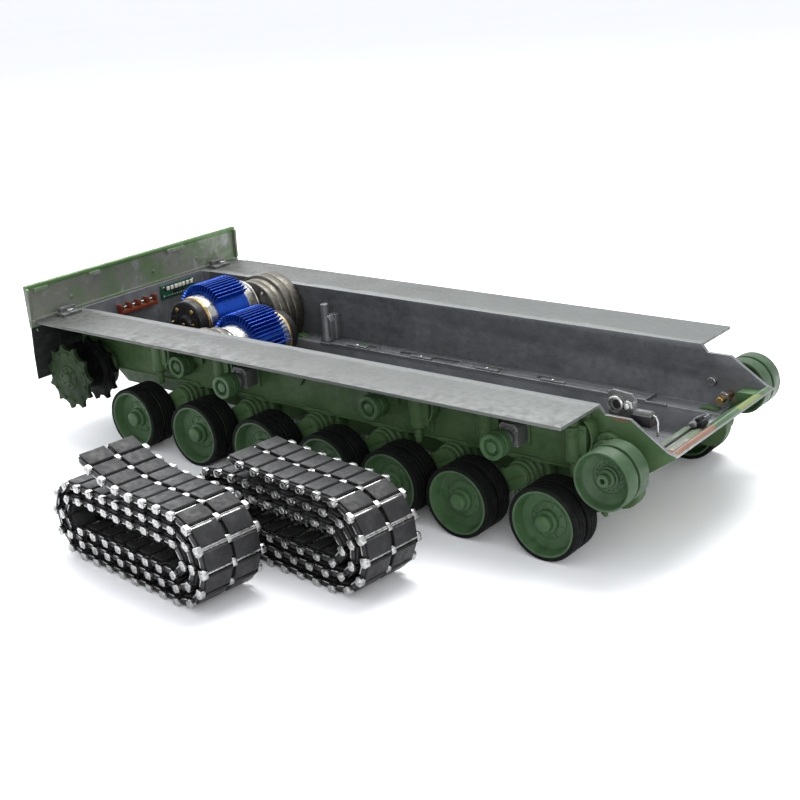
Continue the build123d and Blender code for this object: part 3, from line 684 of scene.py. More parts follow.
# ------------------------------------------------------------------ hull
def is_outside(centre, normal):
    """True for the painted outer skin of the tub, from a face's centre and normal in hull millimetres."""
    away = abs(centre.y)
    if centre.z > DECK_Z - 2.3 and centre.z < DECK_Z + 2 and centre.x < DECK_FRONT + 0.5:
        return away > WALL_OUT - 0.1 and normal.z < -0.5
    if away > WALL_OUT - 0.3 and abs(normal.y) > 0.5:
        return True
    if away > WALL_OUT + 0.2:
        return True
    if centre.z < CHINE_Z + 0.3 and away > LOWER_OUT - 0.2:
        return True
    if centre.z < BELLY_Z + 0.3 and normal.z < -0.5:
        return True
    if normal.x < -0.5 and centre.x < REAR_X + 10 and centre.x < -211.5 and away < WALL_OUT:
        return centre.x < REAR_X + 0.3 or centre.z < CHINE_Z
    return False


def is_nose_skin(centre, normal):
    """True for the sloping outer nose plate and its lip."""
    face_x = 196.0 + (centre.z - BELLY_Z) / NOSE_SLOPE
    return normal.x > 0.3 and centre.x > face_x - 0.4 and centre.z < 62.5


def welded_copy(node):
    """Scratch object with a CAD node's mesh, its doubled corners and flat splits removed."""
    bm = bmesh.new()
    bm.from_mesh(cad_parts[node].data)
    bmesh.ops.remove_doubles(bm, verts=bm.verts, dist=2e-5)
    bmesh.ops.dissolve_limit(bm, angle_limit=math.radians(1.0), verts=bm.verts, edges=bm.edges)
    mesh = bpy.data.meshes.new("welded")
    bm.to_mesh(mesh)
    bm.free()
    scratch = bpy.data.objects.new("scratch", mesh)
    bpy.context.scene.collection.objects.link(scratch)
    return scratch


def united(nodes):
    """One mesh of several CAD nodes that meet face to face."""
    scratch = [welded_copy(node) for node in nodes]
    for other in scratch[1:]:
        union = scratch[0].modifiers.new("union", "BOOLEAN")
        union.operation = "UNION"
        union.solver = "EXACT"
        union.object = other
    bpy.context.view_layer.update()
    graph = bpy.context.evaluated_depsgraph_get()
    mesh = bpy.data.meshes.new_from_object(scratch[0].evaluated_get(graph))
    for item in scratch:
        bpy.data.objects.remove(item)
    bm = bmesh.new()
    bm.from_mesh(mesh)
    bmesh.ops.remove_doubles(bm, verts=bm.verts, dist=2e-5)
    bmesh.ops.dissolve_limit(bm, angle_limit=math.radians(1.0), verts=bm.verts, edges=bm.edges)
    bm.to_mesh(mesh)
    bm.free()
    return mesh


def build_hull():
    """The CAD tub in one piece with broken edges, painted outside and bare inside."""
    mesh = united(HULL_NODES)
    mesh.materials.clear()
    mesh = rounded(mesh, "hull_tub_cast", 0.35 * MM, 33.0)
    shift = Vector((0, HULL_Y, 0))
    for polygon in mesh.polygons:
        centre = (polygon.center - shift) / MM
        if is_nose_skin(centre, polygon.normal):
            polygon.material_index = 3
        elif is_outside(centre, polygon.normal):
            polygon.material_index = 2
        # deck top faces take the deck's tone and the rest inside the tub's: two tones of one casting,
        # painted light and shade
        elif centre.z > DECK_Z - 2.3 and abs(centre.y) > WALL_IN - 0.6 and centre.x < DECK_FRONT + 1:
            polygon.material_index = 0
        else:
            polygon.material_index = 1
    add_piece("hull_tub_cast", mesh, [DECK_METAL, TUB_METAL, HULL_GREEN, CAMOUFLAGE], "hull",
              HULL_NODES)


# ------------------------------------------------------------------ wheels
def wheel_meshes(side):
    """Rim and tyre meshes about the wheel's own axle, outer face towards side."""
    face = WHEEL_FACE
    rim = Form()
    lip = WHEEL_R - 2.5
    bore = lip - 2.2
    web = face - 7.6
    back = face - 22.4
    profile = [(0, face - 0.1), (3.9, face - 0.15), (4.7, face - 0.6), (5.0, face - 1.4), (5.0, face - 4.0),
               (5.5, face - 4.2), (6.4, face - 4.4), (6.7, face - 4.9), (6.7, web + 0.9),
               (10.7, web + 0.8), (11.1, web + 0.5), (11.2, web), (bore - 1.4, web),
               (bore - 0.5, web + 0.3), (bore, web + 1.2), (lip - 1.5, face - 1.2), (lip - 1.1, face - 0.2),
               (lip - 0.7, face), (lip - 0.1, face - 0.05), (lip + 0.15, face - 0.5),
               (lip + 0.15, face - 10.0), (lip - 1.6, face - 10.3), (lip - 1.6, face - 12.1),
               (lip + 0.15, face - 12.4), (lip + 0.15, back + 0.5), (lip - 0.6, back),
               (lip - 1.3, back + 0.4), (bore, back + 6.0), (bore - 1.2, back + 7.0),
               (7.4, back + 7.0), (6.6, back + 6.2),
               (6.4, back + 1.0), (5.6, back + 0.3), (2.1, back + 0.3), (2.1, back + 3.0), (0, back + 3.0)]
    rim.lathe_side(side, profile, 0, 0, 0, 72)
    for x, z in ring_of(8, 9.0, phase=math.radians(40)):
        rim.bolt(side, x, z, web + 0.6, 0.85, 0.9, 0)
        rim.lathe([(0.95, side * (web + 0.75)), (1.25, side * (web + 1.1)), (1.45, side * (web + 0.75))],
                  (x, 0, z), (0, 1, 0), 0, 16)
    rim_mesh = rim.mesh(f"road_wheel_rim_{side}", 0.0, 38.0, local=True)
    tyres = Form()
    for start in (face - 10.2, back + 0.1):
        end = start + 10.1
        crown = WHEEL_R
        band = [(lip + 0.1, start + 0.2), (crown - 0.9, start), (crown - 0.25, start + 0.25),
                (crown, start + 0.9), (crown, start + 3.2), (crown - 0.45, start + 3.35),
                (crown - 0.45, start + 3.75), (crown, start + 3.9), (crown, start + 6.2),
                (crown - 0.45, start + 6.35), (crown - 0.45, start + 6.75), (crown, start + 6.9),
                (crown, end - 0.9), (crown - 0.25, end - 0.25), (crown - 0.9, end), (lip + 0.1, end - 0.2)]
        tyres.lathe_side(side, band, 0, 0, 0, 72, closed=True)
    tyre_mesh = tyres.mesh(f"road_wheel_tyres_{side}", 0.0, 34.0, local=True)
    return rim_mesh, tyre_mesh


def build_wheels():
    for side_name, side in SIDES.items():
        rim, tyres = wheel_meshes(side)
        for number, middle in enumerate(WHEELS, 1):
            node = f"road_wheel_{side_name}_{number}"
            centre = (middle.x, 0, WHEEL_R)
            turn = Matrix.Rotation(0.7 * number + (0.3 if side > 0 else 0.0), 4, "Y")
            add_piece(f"{node}_rim", rim, [WHEEL_GREEN], node, [node], centre, turn)
            add_piece(f"{node}_tyres", tyres, [TYRE_RUBBER], node, (), centre, turn)


def build_idlers():
    for side_name, side in SIDES.items():
        face = IDLER_FACE
        back = face - 21.1
        form = Form()
        radius = IDLER_R
        profile = [(0, face - 3.6), (1.5, face - 3.6), (1.6, face - 1.2), (2.9, face - 1.1),
                   (3.5, face - 1.6), (3.6, face - 4.6), (4.6, face - 4.8), (5.1, face - 5.2),
                   (5.2, face - 6.8),
                   (6.2, face - 7.2), (6.3, face - 8.4), (8.6, face - 8.4), (9.1, face - 8.2),
                   (9.3, face - 7.6), (9.7, face - 7.4), (13.3, face - 5.0), (13.8, face - 4.6),
                   (14.4, face - 3.6), (15.3, face - 0.9), (15.6, face - 0.2), (15.9, face),
                   (16.5, face - 0.05), (radius, face - 0.45), (radius, face - 9.3),
                   (radius - 0.3, face - 9.6), (radius - 2.6, face - 9.8),
                   (radius - 2.6, face - 11.7), (radius - 0.3, face - 11.9),
                   (radius, face - 12.2), (radius, back - 0.1), (radius - 0.5, back - 0.5),
                   (radius - 1.6, back - 0.3), (radius - 2.4, back + 1.4), (9.0, back + 3.6),
                   (8.0, back + 3.2), (7.0, back + 0.4), (3.2, back + 0.2), (3.2, back + 2.0),
                   (0, back + 2.0)]
        form.lathe_side(side, profile, IDLER.x, IDLER.z, 0, 80)
        for x, z in ring_of(16, 7.55, IDLER.x, IDLER.z):
            low, high = face - 8.5, face - 8.0
            form.tube_side(side, x, z, low, high, 0.85, 0.5, 0, 14, 0.1)
            form.rod_side(side, x, z, low + 0.02, low + 0.12, 0.52, 1, 12)
        form.rod_side(side, IDLER.x, IDLER.z, face - 3.7, face - 3.5, 1.55, 1, 18)
        add_piece(f"idler_wheel_{side_name}_discs", form.mesh(f"idler_{side_name}", 0.0, 38.0),
                  [IDLER_GREEN_SHADED, BLACK_PLASTIC], f"idler_wheel_{side_name}",
                  [f"idler_wheel_{side_name}"])


def build_rollers():
    for side_name, side in SIDES.items():
        for number in range(1, ROLLER_COUNT + 1):
            node = f"return_roller_{side_name}_{number}"
            low, high = box_mm(node)
            face = max(abs(low.y), abs(high.y))
            back = min(abs(low.y), abs(high.y))
            x, z, radius = (low.x + high.x) / 2, (low.z + high.z) / 2, (high.z - low.z) / 2
            form = Form()
            profile = [(0, face - 0.15), (2.4, face - 0.2), (3.1, face - 0.5), (3.3, face - 1.0),
                       (3.3, face - 2.0), (3.9, face - 2.3), (4.2, face - 2.9), (4.9, face - 2.9),
                       (5.1, face - 0.7), (5.3, face - 0.15), (5.7, face), (7.1, face),
                       (7.5, face - 0.15), (radius, face - 0.7), (radius, face - 4.9),
                       (radius - 0.3, face - 5.2), (radius, face - 5.5), (radius, back + 0.8),
                       (radius - 0.7, back + 0.1), (4.0, back), (2.1, back + 0.2), (2.1, back + 2.0),
                       (0, back + 2.0)]
            form.lathe_side(side, profile, x, z, 0, 56)
            add_piece(f"{node}_body", form.mesh(f"{node}_mesh", 0.0, 38.0), [WHEEL_GREEN], node,
                      [node])


# ------------------------------------------------------------------ swing arms
def arm_form(side, x):
    """Trailing arm with a split clamp head, its pinch bolt and the wheel axle."""
    form = Form()
    pivot = Vector((x + ARM_LEAD, 0, PIVOT_Z))
    axle = Vector((x, 0, WHEEL_R))
    along = (axle - pivot).normalized()
    across = Vector((-along.z, 0, along.x))
    head_r, tail_r, face_r = 7.4, 4.8, 6.9

    def spot(distance, offset):
        """(x, z) of a point along the arm from its pivot, and across it."""
        point = pivot + along * distance + across * offset
        return point.x, point.z

    length = (axle - pivot).length
    outline = []
    gap = 0.55
    for k in range(0, 13):
        angle = math.radians(96 - 192 * k / 12)
        outline.append(spot(-head_r * math.cos(angle), head_r * math.sin(angle)))
    for k in range(0, 9):
        angle = math.radians(-86 + 172 * k / 8)
        outline.append(spot(length + tail_r * math.cos(angle), tail_r * math.sin(angle)))
    form.extrude_side(side, outline, ARM_BACK, ARM_FACE - 0.5, 0)
    # raised D-shaped clamp face, split by a dark slot towards the wheel
    upper, lower = [], []
    for k in range(0, 9):
        angle = math.radians(92 - 88 * k / 8)
        upper.append(spot(-face_r * math.cos(angle), face_r * math.sin(angle)))
        lower.append(spot(-face_r * math.cos(angle), -face_r * math.sin(angle)))
    upper += [spot(-2.4, gap), spot(8.2, gap), spot(8.2, 6.0), spot(3.0, 6.9)]
    lower += [spot(-2.4, -gap), spot(8.2, -gap), spot(8.2, -6.0), spot(3.0, -6.9)]
    form.extrude_side(side, upper, ARM_FACE - 0.9, ARM_FACE + 0.35, 0)
    form.extrude_side(side, lower, ARM_FACE - 0.9, ARM_FACE + 0.35, 0)
    heel_x, heel_z = spot(-5.0, 0)
    form.rod_side(side, heel_x, heel_z, ARM_FACE - 1.0, ARM_FACE + 0.3, 1.9, 0, 16, 0.2)
    # pinch bolt lug on the upper edge
    lug_x, lug_z = spot(5.5, 7.6)
    top_x, top_z = spot(5.5, 10.2)
    bolt_y = side * (ARM_BACK + 1.3)
    form.rod_side(side, lug_x, lug_z, ARM_BACK + 0.2, ARM_FACE - 0.2, 2.0, 0, 20, 0.3)
    form.rod((lug_x, bolt_y, lug_z), (top_x, bolt_y, top_z), 1.3, 0, 16, 0.2)
    # shaft into the housing and wheel axle
    form.rod_side(side, pivot.x, pivot.z, 52.0, ARM_BACK + 0.4, 3.0, 1, 24, 0.2)
    form.rod_side(side, axle.x, axle.z, ARM_FACE - 1.0, WHEEL_FACE - 22.2, 4.0, 0, 24, 0.3)
    form.rod_side(side, axle.x, axle.z, ARM_FACE - 1.0, WHEEL_FACE - 19.6, 2.0, 1, 20, 0.2)
    return form


def build_arms():
    for side_name, side in SIDES.items():
        for number, middle in enumerate(WHEELS, 1):
            node = f"swing_arm_{side_name}_{number}"
            mesh = arm_form(side, middle.x).mesh(f"{node}_mesh", 0.22)
            add_piece(f"{node}_lever", mesh, [GREEN, ZINC], node, [node])


def build_cranks():
    for side_name, side in SIDES.items():
        form = Form()
        start, end = Vector((CRANK.x, 0, CRANK.z)), Vector((IDLER.x, 0, IDLER.z))
        along = (end - start).normalized()
        across = Vector((-along.z, 0, along.x))
        outline = []
        for k in range(0, 11):
            angle = math.radians(90 - 180 * k / 10)
            spot = start - along * 6.4 * math.cos(angle) + across * 6.4 * math.sin(angle)
            outline.append((spot.x, spot.z))
        for k in range(0, 11):
            angle = math.radians(-90 + 180 * k / 10)
            spot = end + along * 5.6 * math.cos(angle) + across * 5.6 * math.sin(angle)
            outline.append((spot.x, spot.z))
        form.extrude_side(side, outline, 68.0, 71.4, 0)
        form.rod_side(side, start.x, start.z, 58.6, 71.9, 3.0, 1, 24, 0.3)
        form.rod_side(side, start.x, start.z, 71.2, 72.0, 4.6, 0, 24, 0.3)
        form.rod_side(side, end.x, end.z, 71.0, 73.0, 4.2, 0, 24, 0.3)
        form.rod_side(side, end.x, end.z, 71.0, 75.0, 3.0, 1, 24, 0.3)
        add_piece(f"idler_crank_{side_name}_arm", form.mesh(f"crank_{side_name}", 0.25), [GREEN, ZINC],
                  f"idler_crank_{side_name}", [f"idler_crank_{side_name}"])


# ------------------------------------------------------------------ details on the hull sides
def build_bump_stops():
    form = Form()
    for side in SIDES.values():
        for index in (0, 1, 4, 5, 6):
            x = WHEELS[index].x + 4.5
            y = side * 68.6
            # wall plate with a slanted foot, and a slit in front of the can
            plate = [(x - 9.0, 81.0), (x - 9.0, 52.0), (x - 6.6, 47.4), (x - 5.4, 46.6), (x - 5.4, 81.0)]
            form.extrude_side(side, plate, WALL_OUT - 0.2, 66.2, 0)
            form.side_box(side, x - 5.5, x + 8.0, WALL_OUT - 0.2, WALL_OUT + 1.7, 48.0, 81.3, 0)
            # damper can: rounded foot, flange on top, thinner rod below
            can = [(0, 50.2), (3.4, 50.2), (4.5, 51.2), (5.0, 53.0), (5.0, 69.6), (5.6, 70.0), (5.6, 71.6),
                   (5.0, 72.0), (3.8, 72.4), (3.8, 79.4), (0, 79.4)]
            form.lathe(can, (x, y, 0), (0, 0, 1), 0, 40)
            form.rod((x, y, 41.2), (x, y, 51.0), 2.2, 0, 24, 0.4)
            form.rod((x, y, 44.5), (x, y, 46.0), 2.7, 0, 24, 0.3)
            # block beside the can and the curved cheek around it
            form.side_box(side, x + 4.2, x + 9.0, WALL_OUT, 70.4, 56.0, 73.0, 0)
            form.side_box(side, x + 5.0, x + 8.2, WALL_OUT, 69.4, 52.8, 56.4, 0)
            outer, inner = [], []
            for k in range(0, 11):
                angle = math.radians(-62 + 124 * k / 10)
                outer.append((x + 4.0 + 9.2 * math.cos(angle), 65.6 + 12.0 * math.sin(angle)))
                inner.append((x + 4.0 + 8.0 * math.cos(angle), 65.6 + 11.0 * math.sin(angle)))
            form.extrude_side(side, outer + inner[::-1], WALL_OUT - 0.2, 70.6, 0)
            form.bolt(side, x + 6.6, 69.6, 70.3, 1.2, 0.8, 0)
    add_piece("bump_stops_detailed", form.mesh("bump_stops_mesh", 0.28), [GREEN], "hull",
              ["bump_stops"])


def build_roller_brackets():
    form = Form()
    for side in SIDES.values():
        for number in range(1, ROLLER_COUNT + 1):
            low, high = box_mm(f"return_roller_right_{number}")
            x, z = (low.x + high.x) / 2, (low.z + high.z) / 2
            face, back = abs(low.y), abs(high.y)
            outer_row = face > 85
            if outer_row:
                # cast block from the wall, rising a little towards it, with a clamp collar
                base = [(x - 6.0, z - 4.6), (x + 6.4, z - 4.6), (x + 6.4, z + 6.4), (x + 4.0, z + 8.4),
                        (x - 4.6, z + 8.4), (x - 6.0, z + 6.4)]
                form.extrude_side(side, base, WALL_OUT - 0.2, 74.6, 1)
                form.rod_side(side, x, z, 74.0, back - 0.5, 5.2, 1, 32, 0.5)
                form.rod_side(side, x, z, back - 3.4, back - 0.7, 6.6, 1, 36, 0.5)
                form.side_box(side, x - 7.5, x + 7.5, WALL_OUT - 0.2, WALL_OUT + 1.4, z - 7.0, z + 10.0, 0)
                for dx in (-4.4, 4.4):
                    form.bolt(side, x + dx, z + 5.4, 74.4, 1.3, 1.0, 1)
            else:
                form.rod_side(side, x, z, WALL_OUT - 0.2, back - 0.5, 5.8, 0, 32, 0.4)
                form.side_box(side, x + 5.0, x + 15.0, WALL_OUT - 0.2, WALL_OUT + 2.6, z + 1.5, z + 16.0, 0)
                for dz in (5.6, -5.0):
                    form.lathe([(0, 0.9), (0.9, 0.8), (1.2, 0.3), (1.2, -1.0)],
                               (x - 9.4, side * (WALL_OUT + 0.3), z + dz), (0, side, 0), 2, 18)
            form.rod_side(side, x, z, WALL_OUT + 0.5, back + 1.8, 2.0, 1, 20, 0.2)
    add_piece("roller_brackets_detailed", form.mesh("roller_brackets_mesh", 0.3),
              [GREEN, BRACKET_METAL, BLACK_PLASTIC], "hull", ["roller_brackets"])


def build_side_details():
    """Stepped suspension housings, chine bead and small hooks on both outer walls."""
    form = Form()
    for side in SIDES.values():
        for middle in WHEELS:
            x = middle.x + ARM_LEAD
            steps = [(58.0, 9.6), (59.2, 9.8), (60.8, 9.8), (61.4, 8.3), (62.8, 8.3), (63.4, 9.2),
                     (65.2, 9.2), (65.8, 7.9), (66.9, 7.9), (67.4, 8.7), (69.0, 8.7), (69.3, 8.2)]
            profile = [(0, 57.0), (9.0, 57.0)] + [(r, along) for along, r in steps]
            profile += [(3.3, 69.35), (3.3, 68.0)]
            form.lathe_side(side, profile, x, PIVOT_Z, 0, 48)
            # large round boss where the housing meets the chine
            boss = [(0, 50.0), (12.4, 50.0), (12.4, 56.6), (11.8, 57.4), (9.0, 57.6), (0, 57.6)]
            form.lathe_side(side, boss, x, PIVOT_Z, 0, 48)
            shoulder = [(x - 13.0, CHINE_Z - 0.4), (x + 13.0, CHINE_Z - 0.4), (x + 9.0, CHINE_Z + 2.2),
                        (x - 9.0, CHINE_Z + 2.2)]
            form.extrude_side(side, shoulder, 56.0, WALL_OUT + 1.2, 0)
            form.bolt(side, x - 9.2, PIVOT_Z + 7.4, 60.8, 1.7, 1.6, 0)
        # bead along the chine and the folded strip under the deck
        form.side_box(side, -236.0, 214.0, WALL_OUT - 0.3, WALL_OUT + 0.5, CHINE_Z - 0.05, CHINE_Z + 0.9, 0)
        form.side_box(side, REAR_X + 2, DECK_FRONT - 2, WALL_OUT - 0.3, WALL_OUT + 1.1, 80.2, 81.8, 0)
        # small angled hook between the second and third rollers
        x = WHEELS[2].x + 15.0
        hook = [(x - 4.2, 69.6), (x + 3.2, 68.6), (x + 3.6, 66.6), (x - 0.6, 59.4), (x - 2.6, 59.8),
                (x + 0.6, 65.6), (x - 4.2, 66.6)]
        form.extrude_side(side, hook, WALL_OUT - 0.2, WALL_OUT + 1.7, 0)
        # pads where the crank and the final drive bolt on
        for centre, radius, reach in ((CRANK, 9.2, 66.4), (SPROCKET, 15.6, 65.0)):
            profile = [(0, WALL_OUT - 0.3), (radius, WALL_OUT - 0.3), (radius, reach - 0.8),
                       (radius - 0.8, reach), (0, reach)]
            form.lathe_side(side, profile, centre.x, centre.z, 0, 48)
            for px, pz in ring_of(6, radius - 2.0, centre.x, centre.z, 0.3):
                form.bolt(side, px, pz, reach - 0.1, 1.1, 0.9, 0)
    add_piece("hull_side_castings", form.mesh("hull_side_castings", 0.22), [GREEN], "hull",
              ["hull_bosses"])


def build_rear():
    """Rear plate with rolled top edge, ridge and lugs; mud flaps."""
    low, high = box_mm("rear_plate")
    form = Form()
    half, foot, back = high.y, high.x, low.x
    outline = [(foot - 2.4, 79.0), (foot, 79.0), (foot, 83.7), (foot - 0.9, 84.4),
               (back + 2.4, 106.4), (back + 3.0, 107.2), (back + 3.0, 109.0), (back + 2.4, 109.6),
               (back, 109.6), (back, 107.0)]
    form.extrude(outline, "y", -half, half, 0)
    for side in SIDES.values():
        edge = [(foot - 1.0, 84.0), (foot + 0.9, 84.4), (back + 4.6, 106.6), (back + 2.2, 108.4)]
        form.extrude_side(side, edge, half - 2.0, half, 0)
    form.box(foot - 1.2, foot + 0.7, -half + 4, half - 4, 82.6, 84.9, 0)
    for y, width in ((-43.0, 5.0), (38.0, 9.0), (-92.0, 6.0)):
        form.box(back + 1.4, back + 4.4, y - width, y + width, 103.6, 106.8, 0)
    for y in (-66.0, 14.0, 60.0):
        form.hexagon((foot - 1.45, y, 93.0), (1, 0, 0), 1.5, 1.6, 0)
    add_piece("rear_plate_rolled", form.mesh("rear_plate_rolled", 0.35), [PLATE_METAL], "hull",
              ["rear_plate"])
    flaps = Form()
    for side in SIDES.values():
        y_low, y_high = outward(side, WALL_OUT - 6.0, 104.0)
        flaps.box(back, back + 1.2, y_low, y_high, 40.0, 58.5, 0)
        upper = [(back, 58.0), (back + 1.2, 58.0), (back + 2.4, 79.0), (back + 1.3, 79.0)]
        flaps.extrude(upper, "y", y_low, y_high, 0)
        middle = (y_low + y_high) / 2
        for z in (46.0, 54.0, 62.5, 70.5):
            drift = max(0.0, (z - 58.0) * 0.055)
            flaps.box(back + 0.6 + drift, back + 1.5 + drift, y_low + 2.5, y_high - 2.5, z - 0.8, z + 0.8, 0)
        flaps.box(back + 0.3, back + 2.0, middle - 1.0, middle + 1.0, 42.0, 76.0, 0)
        for y in (y_low + 5, y_high - 5):
            flaps.hexagon((back + 2.1, y, 76.6), (1, 0, 0), 1.4, 1.2, 1)
    add_piece("mud_flaps_ribbed", flaps.mesh("mud_flaps_ribbed", 0.2), [FLAP_RUBBER, ZINC], "hull",
              ["mud_flaps"])


# ------------------------------------------------------------------ drive units
MOTORS = {"left": (1, -165.0, 71.5), "right": (-1, -122.0, 57.0)}
MOTOR_R = 17.75
MOTOR_FACE = 30.0
MOTOR_LENGTH = 57.0
SINK_FROM = -10.0
SINK_TO = 20.0


def build_motors():
    form = Form()
    for side, x, z in MOTORS.values():
        tail = MOTOR_FACE - MOTOR_LENGTH
        radius = MOTOR_R
        can = [(0, MOTOR_FACE), (radius - 0.8, MOTOR_FACE), (radius, MOTOR_FACE - 0.8),
               (radius, tail + 9.5),
               (radius - 0.3, tail + 9.2)]
        form.lathe_side(side, can, x, z, 0, 72)
        band = [(radius - 0.3, tail + 9.2), (radius - 0.1, tail + 9.0), (radius - 0.1, tail + 7.6),
                (radius - 1.1, tail + 7.2)]
        form.lathe_side(side, band, x, z, 2, 72)
        bell = [(radius - 1.1, tail + 7.2), (radius - 1.2, tail + 1.0), (radius - 2.2, tail),
                (7.0, tail), (6.6, tail - 0.6), (5.2, tail - 2.4), (3.0, tail - 2.4), (2.6, tail - 1.4),
                (0, tail - 1.4)]
        form.lathe_side(side, bell, x, z, 1, 72)
        # terminals, brush holders and tie screws on the end bell
        for shift in (-10.0, 10.0):
            form.box(x + shift - 1.4, x + shift + 1.4, *sorted((side * (tail - 4.0), side * (tail + 1.0))),
                     z + 1.0, z + 1.8, 2)
            form.box(x + shift - 2.6, x + shift + 2.6, *sorted((side * (tail - 1.4), side * (tail + 3.0))),
                     z - 2.2, z + 5.0, 1)
            form.box(x + shift - 3.4, x + shift + 3.4, *sorted((side * (tail - 0.6), side * (tail + 1.0))),
                     z - 3.4, z - 2.4, 2)
            form.hexagon((x + shift * 0.55, side * (tail + 0.1), z - 9.5), (0, -side, 0), 1.6, 1.2, 2)
        for angle in (52, 128):
            dx, dz = 12.2 * math.cos(math.radians(angle)), 12.2 * math.sin(math.radians(angle))
            form.rod_side(side, x + dx, z + dz, tail + 1.0, tail - 1.3, 1.7, 2, 18, 0.3)
        form.rod_side(side, x, z, tail + 0.5, tail - 3.4, 1.5, 2, 20, 0.3)
    add_piece("motor_cans", form.mesh("motor_cans", 0.15), [CAN_SILVER, BLACK_PLASTIC, BRASS], "hull",
              ["motors"])


def build_heat_sinks():
    form = Form()
    for side_name, (side, x, z) in MOTORS.items():
        y_low, y_high = outward(side, SINK_FROM, SINK_TO)
        inner, sleeve, tip = MOTOR_R + 0.08, 19.5, 25.0
        cut = math.asin(9.0 / sleeve)
        first, last = (44.0, 178.0) if side_name == "left" else (6.0, 146.0)
        count = 21
        # one closed section: sleeve arc outside with fins standing on it, and the bore inside
        outline = []
        start, end = -cut, math.pi + cut
        fin_angles = [math.radians(first + (last - first) * k / (count - 1)) for k in range(count)]
        marks = [start + (end - start) * k / 90 for k in range(91)]
        half = 0.42
        events = []
        for angle in marks:
            near = min(abs(angle - fin) for fin in fin_angles)
            if near > (half + 0.55) / sleeve:
                events.append((angle, [(sleeve, angle)]))
        for fin in fin_angles:
            wide, slim = (half + 0.28) / sleeve, half / tip
            events.append((fin, [(sleeve, fin - wide), (sleeve + 0.5, fin - half / sleeve),
                                 (tip - 0.25, fin - slim), (tip, fin - slim * 0.5), (tip, fin + slim * 0.5),
                                 (tip - 0.25, fin + slim), (sleeve + 0.5, fin + half / sleeve),
                                 (sleeve, fin + wide)]))
        for _, points in sorted(events, key=lambda event: event[0]):
            outline += [(x + r * math.cos(a), z + r * math.sin(a)) for r, a in points]
        for k in range(61):
            angle = end - (end - start) * k / 60
            outline.append((x + inner * math.cos(angle), z + inner * math.sin(angle)))
        form.extrude(outline, "y", y_low, y_high, 0)
    add_piece("heat_sink_fins", form.mesh("heat_sink_fins", 0.0, 25.0), [BLUE], "hull",
              ["heat_sinks"])


def build_gearboxes():
    for side_name, (side, motor_x, motor_z) in MOTORS.items():
        form = Form()
        outer = WALL_IN - 0.4
        ledge = CHINE_Z + 2.9
        if side_name == "left":
            drum_x, drum_z, drum_r = -157.5, 62.5, 29.0
        else:
            drum_x, drum_z, drum_r = -124.0, 62.5, 16.5
        # grooved drum, cut flat where it stands on the ledge
        rows = [(33.0, drum_r - 3.4), (33.6, drum_r - 2.4), (38.6, drum_r - 2.4), (38.9, drum_r - 2.9),
                (39.3, drum_r - 2.4), (43.6, drum_r - 2.4), (44.0, drum_r - 0.4), (44.5, drum_r),
                (50.4, drum_r), (50.7, drum_r - 0.6), (51.2, drum_r - 0.6), (51.5, drum_r),
                (outer - 0.4, drum_r), (outer, drum_r - 0.5)]
        drum = Form()
        profile = [(0, 33.0)] + [(r, a) for a, r in rows] + [(0, outer)]
        drum.lathe_side(side, profile, drum_x, drum_z, 0, 96)
        geometry = list(drum.bm.verts) + list(drum.bm.edges) + list(drum.bm.faces)
        cut = bmesh.ops.bisect_plane(drum.bm, geom=geometry, plane_co=(0, 0, ledge),
                                     plane_no=(0, 0, -1), clear_outer=True)
        edges = [part for part in cut["geom_cut"] if isinstance(part, bmesh.types.BMEdge)]
        bmesh.ops.contextual_create(drum.bm, geom=edges)
        mesh = bpy.data.meshes.new("drum_part")
        drum.bm.to_mesh(mesh)
        drum.bm.free()
        form.bm.from_mesh(mesh)
        # gear case between the drum and the sprocket shaft, with a cover and screws
        case = [(SPROCKET.x - 9.0, ledge), (drum_x, ledge), (drum_x + 4.0, 72.0), (drum_x - 8.0, 75.0),
                (SPROCKET.x + 2.0, 73.0), (SPROCKET.x - 8.0, 69.0), (SPROCKET.x - 12.0, 60.0)]
        form.extrude_side(side, case, 38.4, outer - 0.3, 0)
        cover = [(SPROCKET.x - 7.0, ledge + 1.5), (drum_x - drum_r * 0.4, ledge + 1.5),
                 (drum_x - drum_r * 0.5, 72.0), (SPROCKET.x + 2.0, 71.0), (SPROCKET.x - 7.0, 67.0)]
        form.extrude_side(side, cover, 37.2, 38.8, 1)
        for px, pz in ((SPROCKET.x - 4.0, 50.0), (SPROCKET.x + 18.0, 69.0), (SPROCKET.x + 18.0, 49.5)):
            form.rod_side(side, px, pz, 36.4, 38.0, 1.6, 2, 18, 0.3)
        # pinion housing and silver ring on the motor's face
        flange = [(0, 30.2), (MOTOR_R + 0.2, 30.2), (MOTOR_R + 0.5, 30.6), (MOTOR_R + 0.5, 31.6),
                  (MOTOR_R - 1.0, 32.0), (MOTOR_R - 1.0, 32.8), (MOTOR_R - 3.4, 33.2),
                  (MOTOR_R - 3.4, 38.4),
                  (0, 38.4)]
        form.lathe_side(side, flange, motor_x, motor_z, 2, 72)
        # bolts round the drum's outer face
        for px, pz in ring_of(8, drum_r - 6.0, drum_x, drum_z, 0.2):
            if pz > ledge + 2:
                form.rod_side(side, px, pz, 32.2, 33.4, 1.4, 2, 16, 0.25)
        add_piece(f"gearbox_{side_name}_case", form.mesh(f"gearbox_{side_name}_mesh", 0.25),
                  [GEAR_STEEL, BRACKET_METAL, ZINC], "hull", [f"gearbox_{side_name}"])


